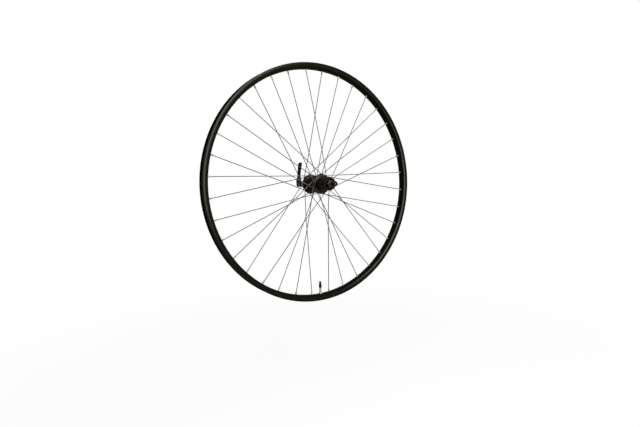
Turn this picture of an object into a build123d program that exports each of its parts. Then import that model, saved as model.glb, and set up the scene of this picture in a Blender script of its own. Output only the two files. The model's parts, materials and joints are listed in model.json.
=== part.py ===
from build123d import *
import math
import os

# Rear bicycle wheel without its tyre: a double-wall rim on crossed, interlaced spokes,
# a hub on cartridge bearings, a splined freehub with sprung pawls and a quick-release skewer.
# The axle lies along Y with the freehub towards -Y, Z points up and the valve is lowest.
# The origin is on the axle, in the rim's mid plane. Lengths are millimetres, angles degrees.

# Clearances
seat_clearance = 0.02
running_clearance = 0.05
fit_clearance = 0.1
free_clearance = 0.35

# Rim
bead_seat_diameter = 622.0
rim_flange_height = 6.0
rim_width = 25.0
rim_depth = 15.5
rim_flange_wall = 1.9
rim_hook = 1.0
rim_lip = 0.5
hook_height = 1.6
brake_track_height = 12.0
spoke_bed_width = 11.0
spoke_bed_wall = 1.4
rim_side_wall = 1.5
bead_shelf_width = 2.6
tyre_well_depth = 2.4
tyre_well_width = 13.6
tyre_bed_wall = 1.1
bed_fillet = 3.0
track_fillet = 4.0
hole_stagger = 1.5
tape_width = 13.0
tape_thickness = 0.6

# Spokes and nipples
spoke_count = 36
spoke_group_count = 4
spoke_crossings = 3
spoke_diameter = 2.0
spoke_head_diameter = 3.8
spoke_head_height = 1.2
spoke_head_taper = 20.0
elbow_reach = 2.1
elbow_cut = 1.1
wire_sides = 8
nipple_length = 12.0
nipple_flats = 3.3
nipple_corner = 0.55
nipple_head_diameter = 6.2
nipple_head_height = 2.0
nipple_seat_lift = 0.45
rim_hole_diameter = 5.0
access_hole_diameter = 9.0

# Hub shell
over_locknut_width = 135.0
hole_circle_diameter = 48.0
flange_diameter = 54.0
flange_thickness = 2.8
flange_bevel = 0.8
spoke_hole_diameter = 2.5
barrel_diameter = 25.0
barrel_flare = 8.0
flange_root_diameter = 36.0
root_fillet = 2.0
left_housing_diameter = 33.0
left_housing_length = 10.6
drive_mouth_length = 2.4
hub_bore_diameter = 17.0

# Bearings: bore, outside and width of a ring pair, and the diameter where the seal runs
axle_diameter = 10.0
hub_bearing_diameter = 26.0
hub_bearing_width = 8.0
hub_bearing_land = 14.6
freehub_bearing_diameter = 22.0
freehub_bearing_width = 6.0
freehub_bearing_land = 13.4
bearing_chamfer = 0.4
drive_bearing_recess = 9.0

# Axle stack
axle_overhang = 5.5
axle_bore = 5.2
spacer_diameter = 13.0
dust_cap_thickness = 1.5
dust_cap_step = 0.8
left_dust_cap_diameter = 30.0
left_cone_nut_length = 6.5
drive_cone_nut_length = 4.1
cone_nut_flats = 15.0
cone_nut_diameter = 17.0
lock_washer_thickness = 1.5
lock_washer_diameter = 18.0
left_spacer_length = 6.4
lock_nut_thickness = 4.8
lock_nut_flats = 17.0
lock_nut_sides = 6
lock_nut_chamfer = 0.8

# Freehub
ratchet_teeth = 24
ratchet_diameter = 34.0
ratchet_tip_diameter = 27.0
ratchet_tooth_depth = 1.3
ratchet_width = 7.6
ratchet_lip = 0.4
snout_diameter = 25.4
freehub_gap = 0.6
freehub_stop_diameter = 37.0
freehub_stop_width = 2.4
freehub_length = 34.9
spline_count = 9
spline_diameter = 34.6
spline_root_diameter = 31.8
spline_width = 6.4
narrow_spline_width = 4.4
lockring_thread_diameter = 29.2
lockring_thread_depth = 7.5
freehub_bore_diameter = 16.0
sleeve_inner_diameter = 18.4
seal_thickness = 1.2
seal_diameter = 36.0

# Pawls, measured from the pawl pivot
pawl_count = 3
pawl_pivot_radius = 10.4
pawl_heel_radius = 1.4
pawl_reach = 5.6
pawl_lift = 4.0
pawl_nose_depth = 1.9
pawl_width = 5.4
pawl_swing = 15.0
pawl_free_angle = 3.2

# Quick release
skewer_diameter = 5.0
spring_gap = 4.5
nut_length = 11.0
nut_collar = 2.5
nut_face_diameter = 17.0
nut_end_diameter = 13.0
nut_grips = 6
nut_grip_radius = 3.0
nut_grip_depth = 0.9
nut_end_fillet = 1.5
spring_wire = 1.0
spring_turns = 3.0
spring_wide_diameter = 13.0
cup_diameter = 17.0
cup_thickness = 8.6
cup_recess = 1.5
cup_wall = 0.6
pad_web = 1.9
pad_depth = 2.5
cam_radius = 8.0
cam_throw = 1.2
cross_pin_diameter = 7.0
cross_pin_length = 14.0
lever_head_width = 15.6
lever_waist_width = 8.4
lever_waist_height = 26.0
lever_tip_width = 10.4
lever_length = 62.0
lever_thickness = 4.0
lever_bow = 3.5
lever_lean = 12.0
lever_slot = 6.6
lever_panel_depth = 0.6
lever_panel_margin = 1.6

# Valve
valve_diameter = 6.0
valve_bore = 3.0
valve_reach = 24.0
valve_flange_diameter = 9.0
valve_flange_height = 1.0
valve_hole_diameter = 6.5
valve_foot_diameter = 12.4
valve_foot_height = 2.6
valve_nut_diameter = 10.4
valve_nut_height = 4.2
valve_nut_grips = 16
valve_nut_grip_depth = 0.45
core_diameter = 4.0
core_rise = 3.5
core_depth = 8.0
pin_diameter = 1.5
pin_nut_diameter = 3.4
pin_nut_height = 2.4
pin_rise = 4.6
pin_travel = 1.2
cap_diameter = 7.6
cap_neck_diameter = 5.8
cap_skirt = 8.6
cap_height = 16.8
cap_overlap = 6.8
cap_roof = 1.0
cap_wall = 0.75
cap_fillet = 0.6

# Radii and places worked out from the sizes above
rim_radius = bead_seat_diameter / 2 + rim_flange_height
seat_radius = bead_seat_diameter / 2
bed_radius = rim_radius - rim_depth
well_radius = seat_radius - tyre_well_depth
tape_radius = well_radius + seat_clearance + tape_thickness
half_width = rim_width / 2
flange_inner = half_width - rim_flange_wall
shelf_edge = flange_inner - bead_shelf_width
axle_radius = axle_diameter / 2
sleeve_radius = axle_radius + running_clearance
lock_face = over_locknut_width / 2
axle_end = lock_face + axle_overhang
flange_radius = flange_diameter / 2
hole_circle_radius = hole_circle_diameter / 2

# The left stack, from the lock nut inwards
lock_nut_back = lock_face - lock_nut_thickness
left_washer_end = lock_nut_back - left_spacer_length
left_cone_end = left_washer_end - lock_washer_thickness
left_cone_start = left_cone_end - left_cone_nut_length
left_cap_back = left_cone_start - dust_cap_thickness
left_bearing_outer = left_cap_back - dust_cap_step
left_bearing_inner = left_bearing_outer - hub_bearing_width
shell_left_end = left_bearing_outer
left_flange = shell_left_end - left_housing_length - flange_thickness / 2

# The drive stack, from the lock nut inwards
drive_cone_start = drive_cone_nut_length - lock_nut_back
drive_cap_back = drive_cone_start + dust_cap_thickness
bearing_floor = drive_cap_back + dust_cap_step
outboard_bearing_inner = bearing_floor + freehub_bearing_width
freehub_end = bearing_floor - lockring_thread_depth
spline_start = freehub_end + freehub_length
inboard_bearing_inner = spline_start
inboard_bearing_outer = inboard_bearing_inner - freehub_bearing_width
stop_inner = spline_start + freehub_stop_width
shell_drive_end = stop_inner + seal_thickness + freehub_gap
drive_flange = shell_drive_end + drive_mouth_length + flange_thickness / 2
drive_bearing_outer = shell_drive_end + drive_bearing_recess
drive_bearing_inner = drive_bearing_outer + hub_bearing_width
ratchet_inner = drive_bearing_outer - ratchet_lip
ratchet_outer = ratchet_inner - ratchet_width
snout_tip = drive_bearing_outer - freehub_gap

skewer_left_face = axle_end + spring_gap
pad_seat = skewer_left_face + cup_thickness - cup_recess
cam_centre = pad_seat + pad_web + fit_clearance + cam_radius
lever_pivot = cam_centre + cam_throw
nut_face = -axle_end - spring_gap
nut_end = nut_face - nut_length

spoke_step = 360 / spoke_count
group_size = spoke_count // spoke_group_count
group_step = 360 / group_size
crossing_angle = spoke_crossings * 2 * spoke_step
first_spoke_angle = spoke_step / 2


def ring_section(inner_diameter, outer_diameter, start, end):
    """Draw the section of a turned ring: radius along X, place on the axle along Y."""
    inner = inner_diameter / 2
    outer = outer_diameter / 2
    with Locations(((inner + outer) / 2, (start + end) / 2)):
        Rectangle(outer - inner, abs(end - start))


def on_wheel(radius, angle, across):
    """Point at a radius and a wheel angle, counted from +X towards +Z."""
    turn = math.radians(angle)
    return Vector(radius * math.cos(turn), across, radius * math.sin(turn))


def axle_plane(across):
    """Plane square to the axle, facing the left side, with its X along the wheel's X."""
    return Plane(origin=(0, across, 0), x_dir=(1, 0, 0), z_dir=(0, 1, 0))


def around_wheel(piece):
    """Copies of a piece at each place of its spoke group."""
    return [piece.rotate(Axis.Y, -turn * group_step) for turn in range(group_size)]


def around_axle(piece):
    """Copies of a piece at each pawl's place."""
    return [piece.rotate(Axis.Y, place * 360 / pawl_count) for place in range(pawl_count)]


def finish(piece, name):
    """Label a finished piece and write it."""
    piece.label = name
    export_step(piece, f"parts/{name}.step")


os.makedirs("parts", exist_ok=True)

# Lacing: each group has its flange, the side it lies on, its first rim hole,
# the way it leans and the flange face that its shafts run along
spoke_groups = {
    "left_outer": (left_flange, 1, first_spoke_angle, 1, 1),
    "drive_inner": (drive_flange, -1, first_spoke_angle + spoke_step, -1, -1),
    "left_inner": (left_flange, 1, first_spoke_angle + 2 * spoke_step, -1, -1),
    "drive_outer": (drive_flange, -1, first_spoke_angle + 3 * spoke_step, 1, 1),
}
elbow_offset = flange_thickness / 2 + elbow_reach
lace_offset = spoke_diameter / 2 + running_clearance


def spoke_line(flange, side, rim_angle, lean, face):
    """Corner points of one spoke, from its head to the rim, and its way through the rim."""
    hub_angle = rim_angle + lean * crossing_angle
    cross_angle = rim_angle + lean * spoke_step
    hub_sine = hole_circle_radius * math.sin(math.radians(crossing_angle - spoke_step))
    hub_cosine = hole_circle_radius * math.cos(math.radians(crossing_angle - spoke_step))
    rim_sine = bed_radius * math.sin(math.radians(spoke_step))
    rim_cosine = bed_radius * math.cos(math.radians(spoke_step))
    share = hub_sine / (hub_sine + rim_sine)
    cross_radius = hub_cosine + share * (rim_cosine - hub_cosine)
    rim_across = side * hole_stagger
    cross_across = flange + share * (rim_across - flange) - side * face * lace_offset

    outward = side * face
    head = on_wheel(hole_circle_radius, hub_angle, flange - outward * flange_thickness / 2)
    corner = on_wheel(hole_circle_radius, hub_angle, flange + outward * elbow_offset)
    crossing = on_wheel(cross_radius, cross_angle, cross_across)
    seat = on_wheel(bed_radius, rim_angle, rim_across)
    stub_way = (corner - head).normalized()
    shaft_way = (crossing - corner).normalized()
    rim_way = (seat - crossing).normalized()
    elbow_start = corner - stub_way * elbow_cut
    elbow_end = corner + shaft_way * elbow_cut
    tip = seat + rim_way * (spoke_bed_wall + nipple_head_height / 2)
    return [head, elbow_start, elbow_end, crossing, tip], seat, rim_way


# Rim
bed_half = spoke_bed_width / 2
track_foot = rim_radius - brake_track_height
bed_slope = math.atan2(track_foot - bed_radius, half_width - bed_half)
chamber_floor = bed_radius + spoke_bed_wall
chamber_corner = bed_half - spoke_bed_wall * math.tan(bed_slope / 2)
chamber_side = half_width - rim_side_wall
chamber_foot = chamber_floor + (chamber_side - chamber_corner) * math.tan(bed_slope)
well_half = tyre_well_width / 2
well_lean = math.atan2(shelf_edge - well_half, tyre_well_depth)
chamber_roof = well_radius - tyre_bed_wall
chamber_shelf = seat_radius - tyre_bed_wall
well_shift = tyre_bed_wall / math.cos(well_lean) - tyre_bed_wall * math.tan(well_lean)

rim_holes = []
for flange, side, rim_angle, lean, face in spoke_groups.values():
    points, seat, rim_way = spoke_line(flange, side, rim_angle, lean, face)
    access_start = seat + rim_way * (chamber_roof - bed_radius - tyre_bed_wall)
    with BuildPart() as spoke_hole:
        with BuildSketch(Plane(origin=seat - rim_way * spoke_bed_wall, z_dir=rim_way)):
            RegularPolygon(rim_hole_diameter / 2, wire_sides)
        extrude(amount=3 * spoke_bed_wall)
        with BuildSketch(Plane(origin=access_start, z_dir=rim_way)):
            RegularPolygon(access_hole_diameter / 2, wire_sides)
        extrude(amount=3 * tyre_bed_wall)
    rim_holes += around_wheel(spoke_hole.part)

with BuildPart() as valve_hole:
    with BuildSketch(Plane.XY.offset(spoke_bed_wall - bed_radius)):
        Circle(valve_hole_diameter / 2)
    extrude(amount=-3 * spoke_bed_wall)
    with BuildSketch(Plane.XY.offset(tyre_bed_wall - chamber_roof)):
        Circle(access_hole_diameter / 2)
    extrude(amount=-3 * tyre_bed_wall)

with BuildPart() as rim:
    with BuildSketch() as rim_section:
        with BuildLine():
            Polyline(
                (bed_radius, 0),
                (bed_radius, bed_half),
                (track_foot, half_width),
                (rim_radius - rim_lip, half_width),
                (rim_radius, half_width - rim_lip),
                (rim_radius, flange_inner - rim_hook + rim_lip),
                (rim_radius - rim_lip, flange_inner - rim_hook),
                (rim_radius - rim_lip - hook_height, flange_inner - rim_hook),
                (rim_radius - rim_lip - hook_height - rim_hook, flange_inner),
                (seat_radius, flange_inner),
                (seat_radius, shelf_edge),
                (well_radius, well_half),
                (well_radius, 0),
                close=True,
            )
        make_face()
        bed_corner = rim_section.vertices().filter_by_position(Axis.Y, bed_half, bed_half)
        fillet(bed_corner, bed_fillet)
        track_corner = rim_section.vertices().filter_by_position(Axis.X, track_foot, track_foot)
        fillet(track_corner, track_fillet)
        with BuildLine():
            Polyline(
                (chamber_floor, 0),
                (chamber_floor, chamber_corner),
                (chamber_foot, chamber_side),
                (chamber_shelf, chamber_side),
                (chamber_shelf, shelf_edge + well_shift),
                (chamber_roof, well_half + well_shift),
                (chamber_roof, 0),
                close=True,
            )
        make_face(mode=Mode.SUBTRACT)
        mirror(about=Plane.XZ)
    revolve(axis=Axis.Y)
    add(rim_holes + [valve_hole.part], mode=Mode.SUBTRACT)
finish(rim.part, "rim")

with BuildPart() as rim_tape:
    with BuildSketch():
        with Locations((tape_radius - tape_thickness / 2, 0)):
            Rectangle(tape_thickness, tape_width)
    revolve(axis=Axis.Y)
    with BuildSketch(Plane.XY.offset(-well_radius + tape_thickness)):
        Circle(access_hole_diameter / 2)
    extrude(amount=-3 * tape_thickness, mode=Mode.SUBTRACT)
finish(rim_tape.part, "rim_tape")

# Spokes: the round wire is drawn with a few flats, and laced over the last crossing
for group, (flange, side, rim_angle, lean, face) in spoke_groups.items():
    points, seat, rim_way = spoke_line(flange, side, rim_angle, lean, face)
    with BuildPart() as spoke:
        with BuildLine() as wire:
            Polyline(*points)
        with BuildSketch(Plane(origin=points[0], z_dir=points[1] - points[0])):
            RegularPolygon(spoke_diameter / 2, wire_sides)
        sweep(path=wire.line, transition=Transition.RIGHT)
        with BuildSketch(Plane(origin=points[0], z_dir=points[0] - points[1])):
            RegularPolygon(spoke_head_diameter / 2, wire_sides)
        extrude(amount=spoke_head_height, taper=spoke_head_taper)
    with BuildPart() as spokes:
        add(around_wheel(spoke.part))
    finish(spokes.part, f"spokes_{group}")

nipple_bore_radius = (spoke_diameter / 2 + running_clearance) / math.cos(math.pi / wire_sides)
nipple_shank = nipple_length - nipple_head_height
nipple_copies = []
for flange, side, rim_angle, lean, face in spoke_groups.values():
    points, seat, rim_way = spoke_line(flange, side, rim_angle, lean, face)
    neck = seat + rim_way * (spoke_bed_wall + nipple_seat_lift)
    with BuildPart() as nipple:
        with BuildSketch(Plane(origin=neck, z_dir=rim_way)) as shank_section:
            Rectangle(nipple_flats, nipple_flats)
            chamfer(shank_section.vertices(), nipple_corner)
            RegularPolygon(nipple_bore_radius, wire_sides, mode=Mode.SUBTRACT)
        extrude(amount=-nipple_shank)
        with BuildSketch(Plane(origin=neck, z_dir=rim_way)):
            RegularPolygon(nipple_head_diameter / 2, wire_sides)
            RegularPolygon(nipple_bore_radius, wire_sides, mode=Mode.SUBTRACT)
        extrude(amount=nipple_head_height)
    nipple_copies += around_wheel(nipple.part)

with BuildPart() as nipples:
    add(nipple_copies)
finish(nipples.part, "nipples")

# Hub shell
left_outer_face = left_flange + flange_thickness / 2
left_inner_face = left_flange - flange_thickness / 2
drive_inner_face = drive_flange + flange_thickness / 2
drive_outer_face = drive_flange - flange_thickness / 2
bevel_radius = flange_radius - flange_bevel
barrel_radius = barrel_diameter / 2
root_radius = flange_root_diameter / 2
housing_radius = left_housing_diameter / 2
drive_mouth_radius = freehub_stop_diameter / 2
hub_bearing_radius = hub_bearing_diameter / 2
ratchet_seat_radius = ratchet_diameter / 2 + seat_clearance

with BuildPart() as hub_shell:
    with BuildSketch() as shell_section:
        with BuildLine():
            Polyline(
                (hub_bore_diameter / 2, left_bearing_inner),
                (hub_bearing_radius + seat_clearance, left_bearing_inner),
                (hub_bearing_radius + seat_clearance, shell_left_end),
                (housing_radius, shell_left_end),
                (housing_radius, left_outer_face),
                (bevel_radius, left_outer_face),
                (flange_radius, left_outer_face - flange_bevel),
                (flange_radius, left_inner_face + flange_bevel),
                (bevel_radius, left_inner_face),
                (housing_radius, left_inner_face),
                (barrel_radius, left_bearing_inner - hub_bearing_width - barrel_flare),
                (barrel_radius, drive_bearing_inner + barrel_flare),
                (root_radius, drive_bearing_outer),
                (root_radius, drive_inner_face),
                (bevel_radius, drive_inner_face),
                (flange_radius, drive_inner_face - flange_bevel),
                (flange_radius, drive_outer_face + flange_bevel),
                (bevel_radius, drive_outer_face),
                (drive_mouth_radius, drive_outer_face),
                (drive_mouth_radius, shell_drive_end),
                (ratchet_seat_radius, shell_drive_end),
                (ratchet_seat_radius, drive_bearing_outer - seat_clearance),
                (hub_bearing_radius + seat_clearance, drive_bearing_outer - seat_clearance),
                (hub_bearing_radius + seat_clearance, drive_bearing_inner),
                (hub_bore_diameter / 2, drive_bearing_inner),
                close=True,
            )
        make_face()
        barrel_corners = shell_section.vertices().filter_by_position(Axis.X, barrel_radius, barrel_radius)
        fillet(barrel_corners, root_fillet)
    revolve(axis=Axis.Y)
    with BuildSketch(axle_plane(left_flange)):
        with PolarLocations(hole_circle_radius, spoke_count // 2, -first_spoke_angle):
            Circle(spoke_hole_diameter / 2)
    extrude(amount=flange_thickness, both=True, mode=Mode.SUBTRACT)
    with BuildSketch(axle_plane(drive_flange)):
        with PolarLocations(hole_circle_radius, spoke_count // 2, -first_spoke_angle - spoke_step):
            Circle(spoke_hole_diameter / 2)
    extrude(amount=flange_thickness, both=True, mode=Mode.SUBTRACT)
finish(hub_shell.part, "hub_shell")

# Bearings: inner rings turn with the axle, outer rings carry the seals
hub_bearing_spans = [
    (left_bearing_inner, left_bearing_outer),
    (drive_bearing_outer, drive_bearing_inner),
]
freehub_bearing_spans = [
    (inboard_bearing_outer, inboard_bearing_inner),
    (bearing_floor, outboard_bearing_inner),
]
with BuildPart() as hub_bearing_inner_rings:
    with BuildSketch():
        for low, high in hub_bearing_spans:
            ring_section(2 * sleeve_radius, hub_bearing_land, low, high)
    revolve(axis=Axis.Y)
finish(hub_bearing_inner_rings.part, "hub_bearing_inner_rings")

with BuildPart() as hub_bearing_outer_rings:
    with BuildSketch() as hub_ring_section:
        for low, high in hub_bearing_spans:
            ring_section(hub_bearing_land + 2 * running_clearance, hub_bearing_diameter, low, high)
        chamfer(hub_ring_section.vertices().group_by(Axis.X)[-1], bearing_chamfer)
    revolve(axis=Axis.Y)
finish(hub_bearing_outer_rings.part, "hub_bearing_outer_rings")

with BuildPart() as freehub_bearing_inner_rings:
    with BuildSketch():
        for low, high in freehub_bearing_spans:
            ring_section(2 * sleeve_radius, freehub_bearing_land, low, high)
    revolve(axis=Axis.Y)
finish(freehub_bearing_inner_rings.part, "freehub_bearing_inner_rings")

with BuildPart() as freehub_bearing_outer_rings:
    with BuildSketch() as freehub_ring_section:
        for low, high in freehub_bearing_spans:
            ring_section(freehub_bearing_land + 2 * running_clearance, freehub_bearing_diameter, low, high)
        chamfer(freehub_ring_section.vertices().group_by(Axis.X)[-1], bearing_chamfer)
    revolve(axis=Axis.Y)
finish(freehub_bearing_outer_rings.part, "freehub_bearing_outer_rings")

# Axle and what is threaded on it, from the left end to the drive end
with BuildPart() as axle:
    with BuildSketch():
        ring_section(axle_bore, axle_diameter, -axle_end, axle_end)
    revolve(axis=Axis.Y)
    chamfer(axle.edges().filter_by(GeomType.CIRCLE).sort_by(SortBy.RADIUS)[-2:], bearing_chamfer)
finish(axle.part, "axle")

with BuildPart() as hub_spacer:
    with BuildSketch():
        ring_section(2 * sleeve_radius, spacer_diameter, drive_bearing_inner, left_bearing_inner)
    revolve(axis=Axis.Y)
finish(hub_spacer.part, "hub_spacer")

with BuildPart() as freehub_spacers:
    with BuildSketch():
        ring_section(2 * sleeve_radius, spacer_diameter, inboard_bearing_inner, drive_bearing_outer)
        ring_section(2 * sleeve_radius, spacer_diameter, outboard_bearing_inner, inboard_bearing_outer)
    revolve(axis=Axis.Y)
finish(freehub_spacers.part, "freehub_spacers")

drive_dust_cap_diameter = lockring_thread_diameter - 2 * freehub_gap

with BuildPart() as left_dust_cap:
    with BuildSketch():
        ring_section(2 * sleeve_radius, spacer_diameter, left_bearing_outer, left_cap_back)
        ring_section(2 * sleeve_radius, left_dust_cap_diameter, left_cap_back, left_cone_start)
    revolve(axis=Axis.Y)
    chamfer(left_dust_cap.edges().filter_by(GeomType.CIRCLE).sort_by(Axis.Y)[-1], lock_nut_chamfer)
finish(left_dust_cap.part, "left_dust_cap")

with BuildPart() as drive_dust_cap:
    with BuildSketch():
        ring_section(2 * sleeve_radius, spacer_diameter, drive_cap_back, bearing_floor)
        ring_section(2 * sleeve_radius, drive_dust_cap_diameter, drive_cone_start, drive_cap_back)
    revolve(axis=Axis.Y)
finish(drive_dust_cap.part, "drive_dust_cap")

for name, start, end in (
    ("left_cone_nut", left_cone_start, left_cone_end),
    ("drive_cone_nut", -lock_nut_back, drive_cone_start),
):
    with BuildPart() as cone_nut:
        with BuildSketch(axle_plane(start)):
            Circle(cone_nut_diameter / 2)
            Rectangle(cone_nut_diameter, cone_nut_flats, mode=Mode.INTERSECT)
            Circle(sleeve_radius, mode=Mode.SUBTRACT)
        extrude(amount=end - start)
    finish(cone_nut.part, name)

with BuildPart() as lock_washer:
    with BuildSketch():
        ring_section(2 * sleeve_radius, lock_washer_diameter, left_cone_end, left_washer_end)
    revolve(axis=Axis.Y)
finish(lock_washer.part, "lock_washer")

with BuildPart() as left_spacer:
    with BuildSketch():
        ring_section(2 * sleeve_radius, cone_nut_flats, left_washer_end, lock_nut_back)
    revolve(axis=Axis.Y)
finish(left_spacer.part, "left_spacer")

with BuildPart() as lock_nut:
    with BuildSketch(axle_plane(lock_nut_back)):
        RegularPolygon(lock_nut_flats / 2, lock_nut_sides, major_radius=False)
    extrude(amount=lock_nut_thickness)
    chamfer(lock_nut.faces().sort_by(Axis.Y)[-1].edges(), lock_nut_chamfer)
    with BuildSketch(axle_plane(lock_nut_back)):
        Circle(sleeve_radius)
    extrude(amount=lock_nut_thickness, mode=Mode.SUBTRACT)
with BuildPart() as lock_nuts:
    add(lock_nut.part)
    mirror(about=Plane.XZ)
finish(lock_nuts.part, "lock_nuts")

# Freehub: splined body, ratchet ring in the shell and pawls in the body's snout
snout_radius = snout_diameter / 2
freehub_bore_radius = freehub_bore_diameter / 2
stop_radius = freehub_stop_diameter / 2
spline_root_radius = spline_root_diameter / 2
spline_radius = spline_diameter / 2
thread_radius = lockring_thread_diameter / 2
freehub_seat_radius = freehub_bearing_diameter / 2 + seat_clearance
ratchet_tip_radius = ratchet_tip_diameter / 2
ratchet_root_radius = ratchet_tip_radius + ratchet_tooth_depth
tooth_pitch = 360 / ratchet_teeth
pawl_middle = (ratchet_inner + ratchet_outer) / 2

# A pawl is drawn with its radius upwards: it drives towards -X and its nose is left of its pivot
pawl_side = pawl_reach / 2
pawl_pivot = Vector(pawl_side, math.sqrt(pawl_pivot_radius**2 - pawl_side**2))
pawl_way = Vector(-pawl_reach, pawl_lift).normalized()
pawl_out = Vector(pawl_way.Y, -pawl_way.X)
pawl_nose = pawl_pivot + Vector(-pawl_reach, pawl_lift)
nose_angle = math.degrees(math.atan2(pawl_nose.Y, pawl_nose.X))
drive_face_angle = nose_angle + pawl_free_angle
folded_way = pawl_way.rotate(Axis.Z, pawl_swing)
folded_out = pawl_out.rotate(Axis.Z, pawl_swing)
folded_nose = pawl_pivot + folded_way * math.hypot(pawl_reach, pawl_lift)
pocket_floor_start = pawl_pivot - folded_out * (pawl_heel_radius + free_clearance)
pocket_depth = pawl_nose_depth + free_clearance
pocket_floor_end = folded_nose - folded_out * pocket_depth + folded_way * pawl_heel_radius
pocket_mouth = 2 * (ratchet_tip_radius - pawl_pivot_radius)

with BuildPart() as pawl_pocket:
    with BuildSketch(axle_plane(pawl_middle)):
        with Locations(pawl_pivot):
            Circle(pawl_heel_radius + fit_clearance)
        with BuildLine():
            Polyline(
                pocket_floor_start,
                pocket_floor_end,
                pocket_floor_end + folded_out * pocket_mouth,
                pawl_pivot + pawl_out * pocket_mouth,
                pawl_pivot + pawl_out * pawl_heel_radius,
                close=True,
            )
        make_face()
    extrude(amount=pawl_width / 2 + fit_clearance, both=True)

with BuildPart() as freehub_body:
    with BuildSketch() as freehub_section:
        with BuildLine():
            Polyline(
                (freehub_bore_radius, snout_tip),
                (snout_radius, snout_tip),
                (snout_radius, stop_inner),
                (stop_radius, stop_inner),
                (stop_radius, spline_start),
                (spline_root_radius, spline_start),
                (spline_root_radius, freehub_end),
                (thread_radius, freehub_end),
                (thread_radius, bearing_floor),
                (freehub_seat_radius, bearing_floor),
                (freehub_seat_radius, inboard_bearing_inner),
                (freehub_bore_radius, inboard_bearing_inner),
                close=True,
            )
        make_face()
    revolve(axis=Axis.Y)
    with BuildSketch(axle_plane(spline_start)):
        for spline in range(spline_count):
            width = spline_width if spline else narrow_spline_width
            with PolarLocations((thread_radius + stop_radius) / 2, 1, spline * 360 / spline_count):
                Rectangle(stop_radius - thread_radius - 2 * fit_clearance, width)
        Circle(spline_radius, mode=Mode.INTERSECT)
    extrude(amount=-freehub_length)
    add(around_axle(pawl_pocket.part), mode=Mode.SUBTRACT)
finish(freehub_body.part, "freehub_body")

with BuildPart() as ratchet_ring:
    with BuildSketch(axle_plane(ratchet_inner)):
        Circle(ratchet_diameter / 2)
        tooth_line = []
        for tooth in range(ratchet_teeth):
            face_angle = math.radians(drive_face_angle + tooth * tooth_pitch)
            for radius in (ratchet_root_radius, ratchet_tip_radius):
                tooth_line.append((radius * math.cos(face_angle), radius * math.sin(face_angle)))
        with BuildLine():
            Polyline(*tooth_line, close=True)
        make_face(mode=Mode.SUBTRACT)
    extrude(amount=-ratchet_width)
finish(ratchet_ring.part, "ratchet_ring")

with BuildPart() as pawl:
    with BuildSketch(axle_plane(pawl_middle)):
        with Locations(pawl_pivot):
            Circle(pawl_heel_radius)
        with BuildLine():
            Polyline(
                pawl_pivot + pawl_out * pawl_heel_radius,
                pawl_nose,
                pawl_nose - pawl_nose.normalized() * pawl_nose_depth,
                pawl_pivot - pawl_out * pawl_heel_radius,
                close=True,
            )
        make_face()
    extrude(amount=pawl_width / 2, both=True)
for copy, name in zip(around_axle(pawl.part), ("pawl_a", "pawl_b", "pawl_c")):
    finish(copy, name)

with BuildPart() as freehub_sleeve:
    with BuildSketch():
        ring_section(
            sleeve_inner_diameter, freehub_bearing_diameter, outboard_bearing_inner, inboard_bearing_outer
        )
    revolve(axis=Axis.Y)
finish(freehub_sleeve.part, "freehub_sleeve")

with BuildPart() as freehub_seal:
    with BuildSketch():
        seal_hole = snout_diameter + 2 * seat_clearance
        ring_section(seal_hole, seal_diameter, stop_inner, stop_inner + seal_thickness)
    revolve(axis=Axis.Y)
finish(freehub_seal.part, "freehub_seal")

# Quick release: rod, springs, nut, cup, cam pad, cross pin and lever
cross_pin_radius = cross_pin_diameter / 2
rod_hole = skewer_diameter + 2 * fit_clearance
rod_radius = skewer_diameter / 2
rod_end = lever_pivot + math.sqrt(cross_pin_radius**2 - rod_radius**2) - fit_clearance
with BuildPart() as skewer_rod:
    with BuildSketch(axle_plane(nut_end + nut_end_fillet)):
        Circle(rod_radius)
    extrude(amount=rod_end - nut_end - nut_end_fillet)
finish(skewer_rod.part, "skewer_rod")

spring_height = spring_gap - spring_wire - 2 * fit_clearance
spring_narrow_radius = (axle_bore + axle_diameter) / 4
spring_wide_radius = (spring_wide_diameter - spring_wire) / 2
spring_cone = math.degrees(math.atan2(spring_wide_radius - spring_narrow_radius, spring_height))
with BuildPart() as skewer_springs:
    with BuildLine() as coil:
        Helix(
            pitch=spring_height / spring_turns,
            height=spring_height,
            radius=spring_narrow_radius,
            center=(0, axle_end + fit_clearance + spring_wire / 2, 0),
            direction=(0, 1, 0),
            cone_angle=spring_cone,
        )
    with BuildSketch(Plane(origin=coil.line @ 0, z_dir=coil.line % 0)):
        RegularPolygon(spring_wire / 2, wire_sides)
    sweep(path=coil.line, is_frenet=True)
    mirror(about=Plane.XZ)
finish(skewer_springs.part, "skewer_springs")

with BuildPart() as qr_nut:
    with BuildSketch() as nut_section:
        with BuildLine():
            Polyline(
                (rod_radius + running_clearance, nut_face),
                (nut_face_diameter / 2, nut_face),
                (nut_face_diameter / 2, nut_face - nut_collar),
                (nut_end_diameter / 2, nut_end),
                (rod_radius + running_clearance, nut_end),
                close=True,
            )
        make_face()
        fillet(nut_section.vertices().group_by(Axis.Y)[0].sort_by(Axis.X)[-1], nut_end_fillet)
    revolve(axis=Axis.Y)
    with BuildSketch(axle_plane(nut_end)):
        with PolarLocations(nut_face_diameter / 2 + nut_grip_radius - nut_grip_depth, nut_grips):
            Circle(nut_grip_radius)
    extrude(amount=nut_length - nut_collar, mode=Mode.SUBTRACT)
finish(qr_nut.part, "qr_nut")

cup_floor_radius = cup_diameter / 2 - cup_wall
with BuildPart() as qr_cup:
    with BuildSketch():
        ring_section(rod_hole, cup_diameter, skewer_left_face, pad_seat)
        ring_section(2 * cup_floor_radius, cup_diameter, pad_seat, pad_seat + cup_recess)
    revolve(axis=Axis.Y)
finish(qr_cup.part, "qr_cup")

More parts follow.
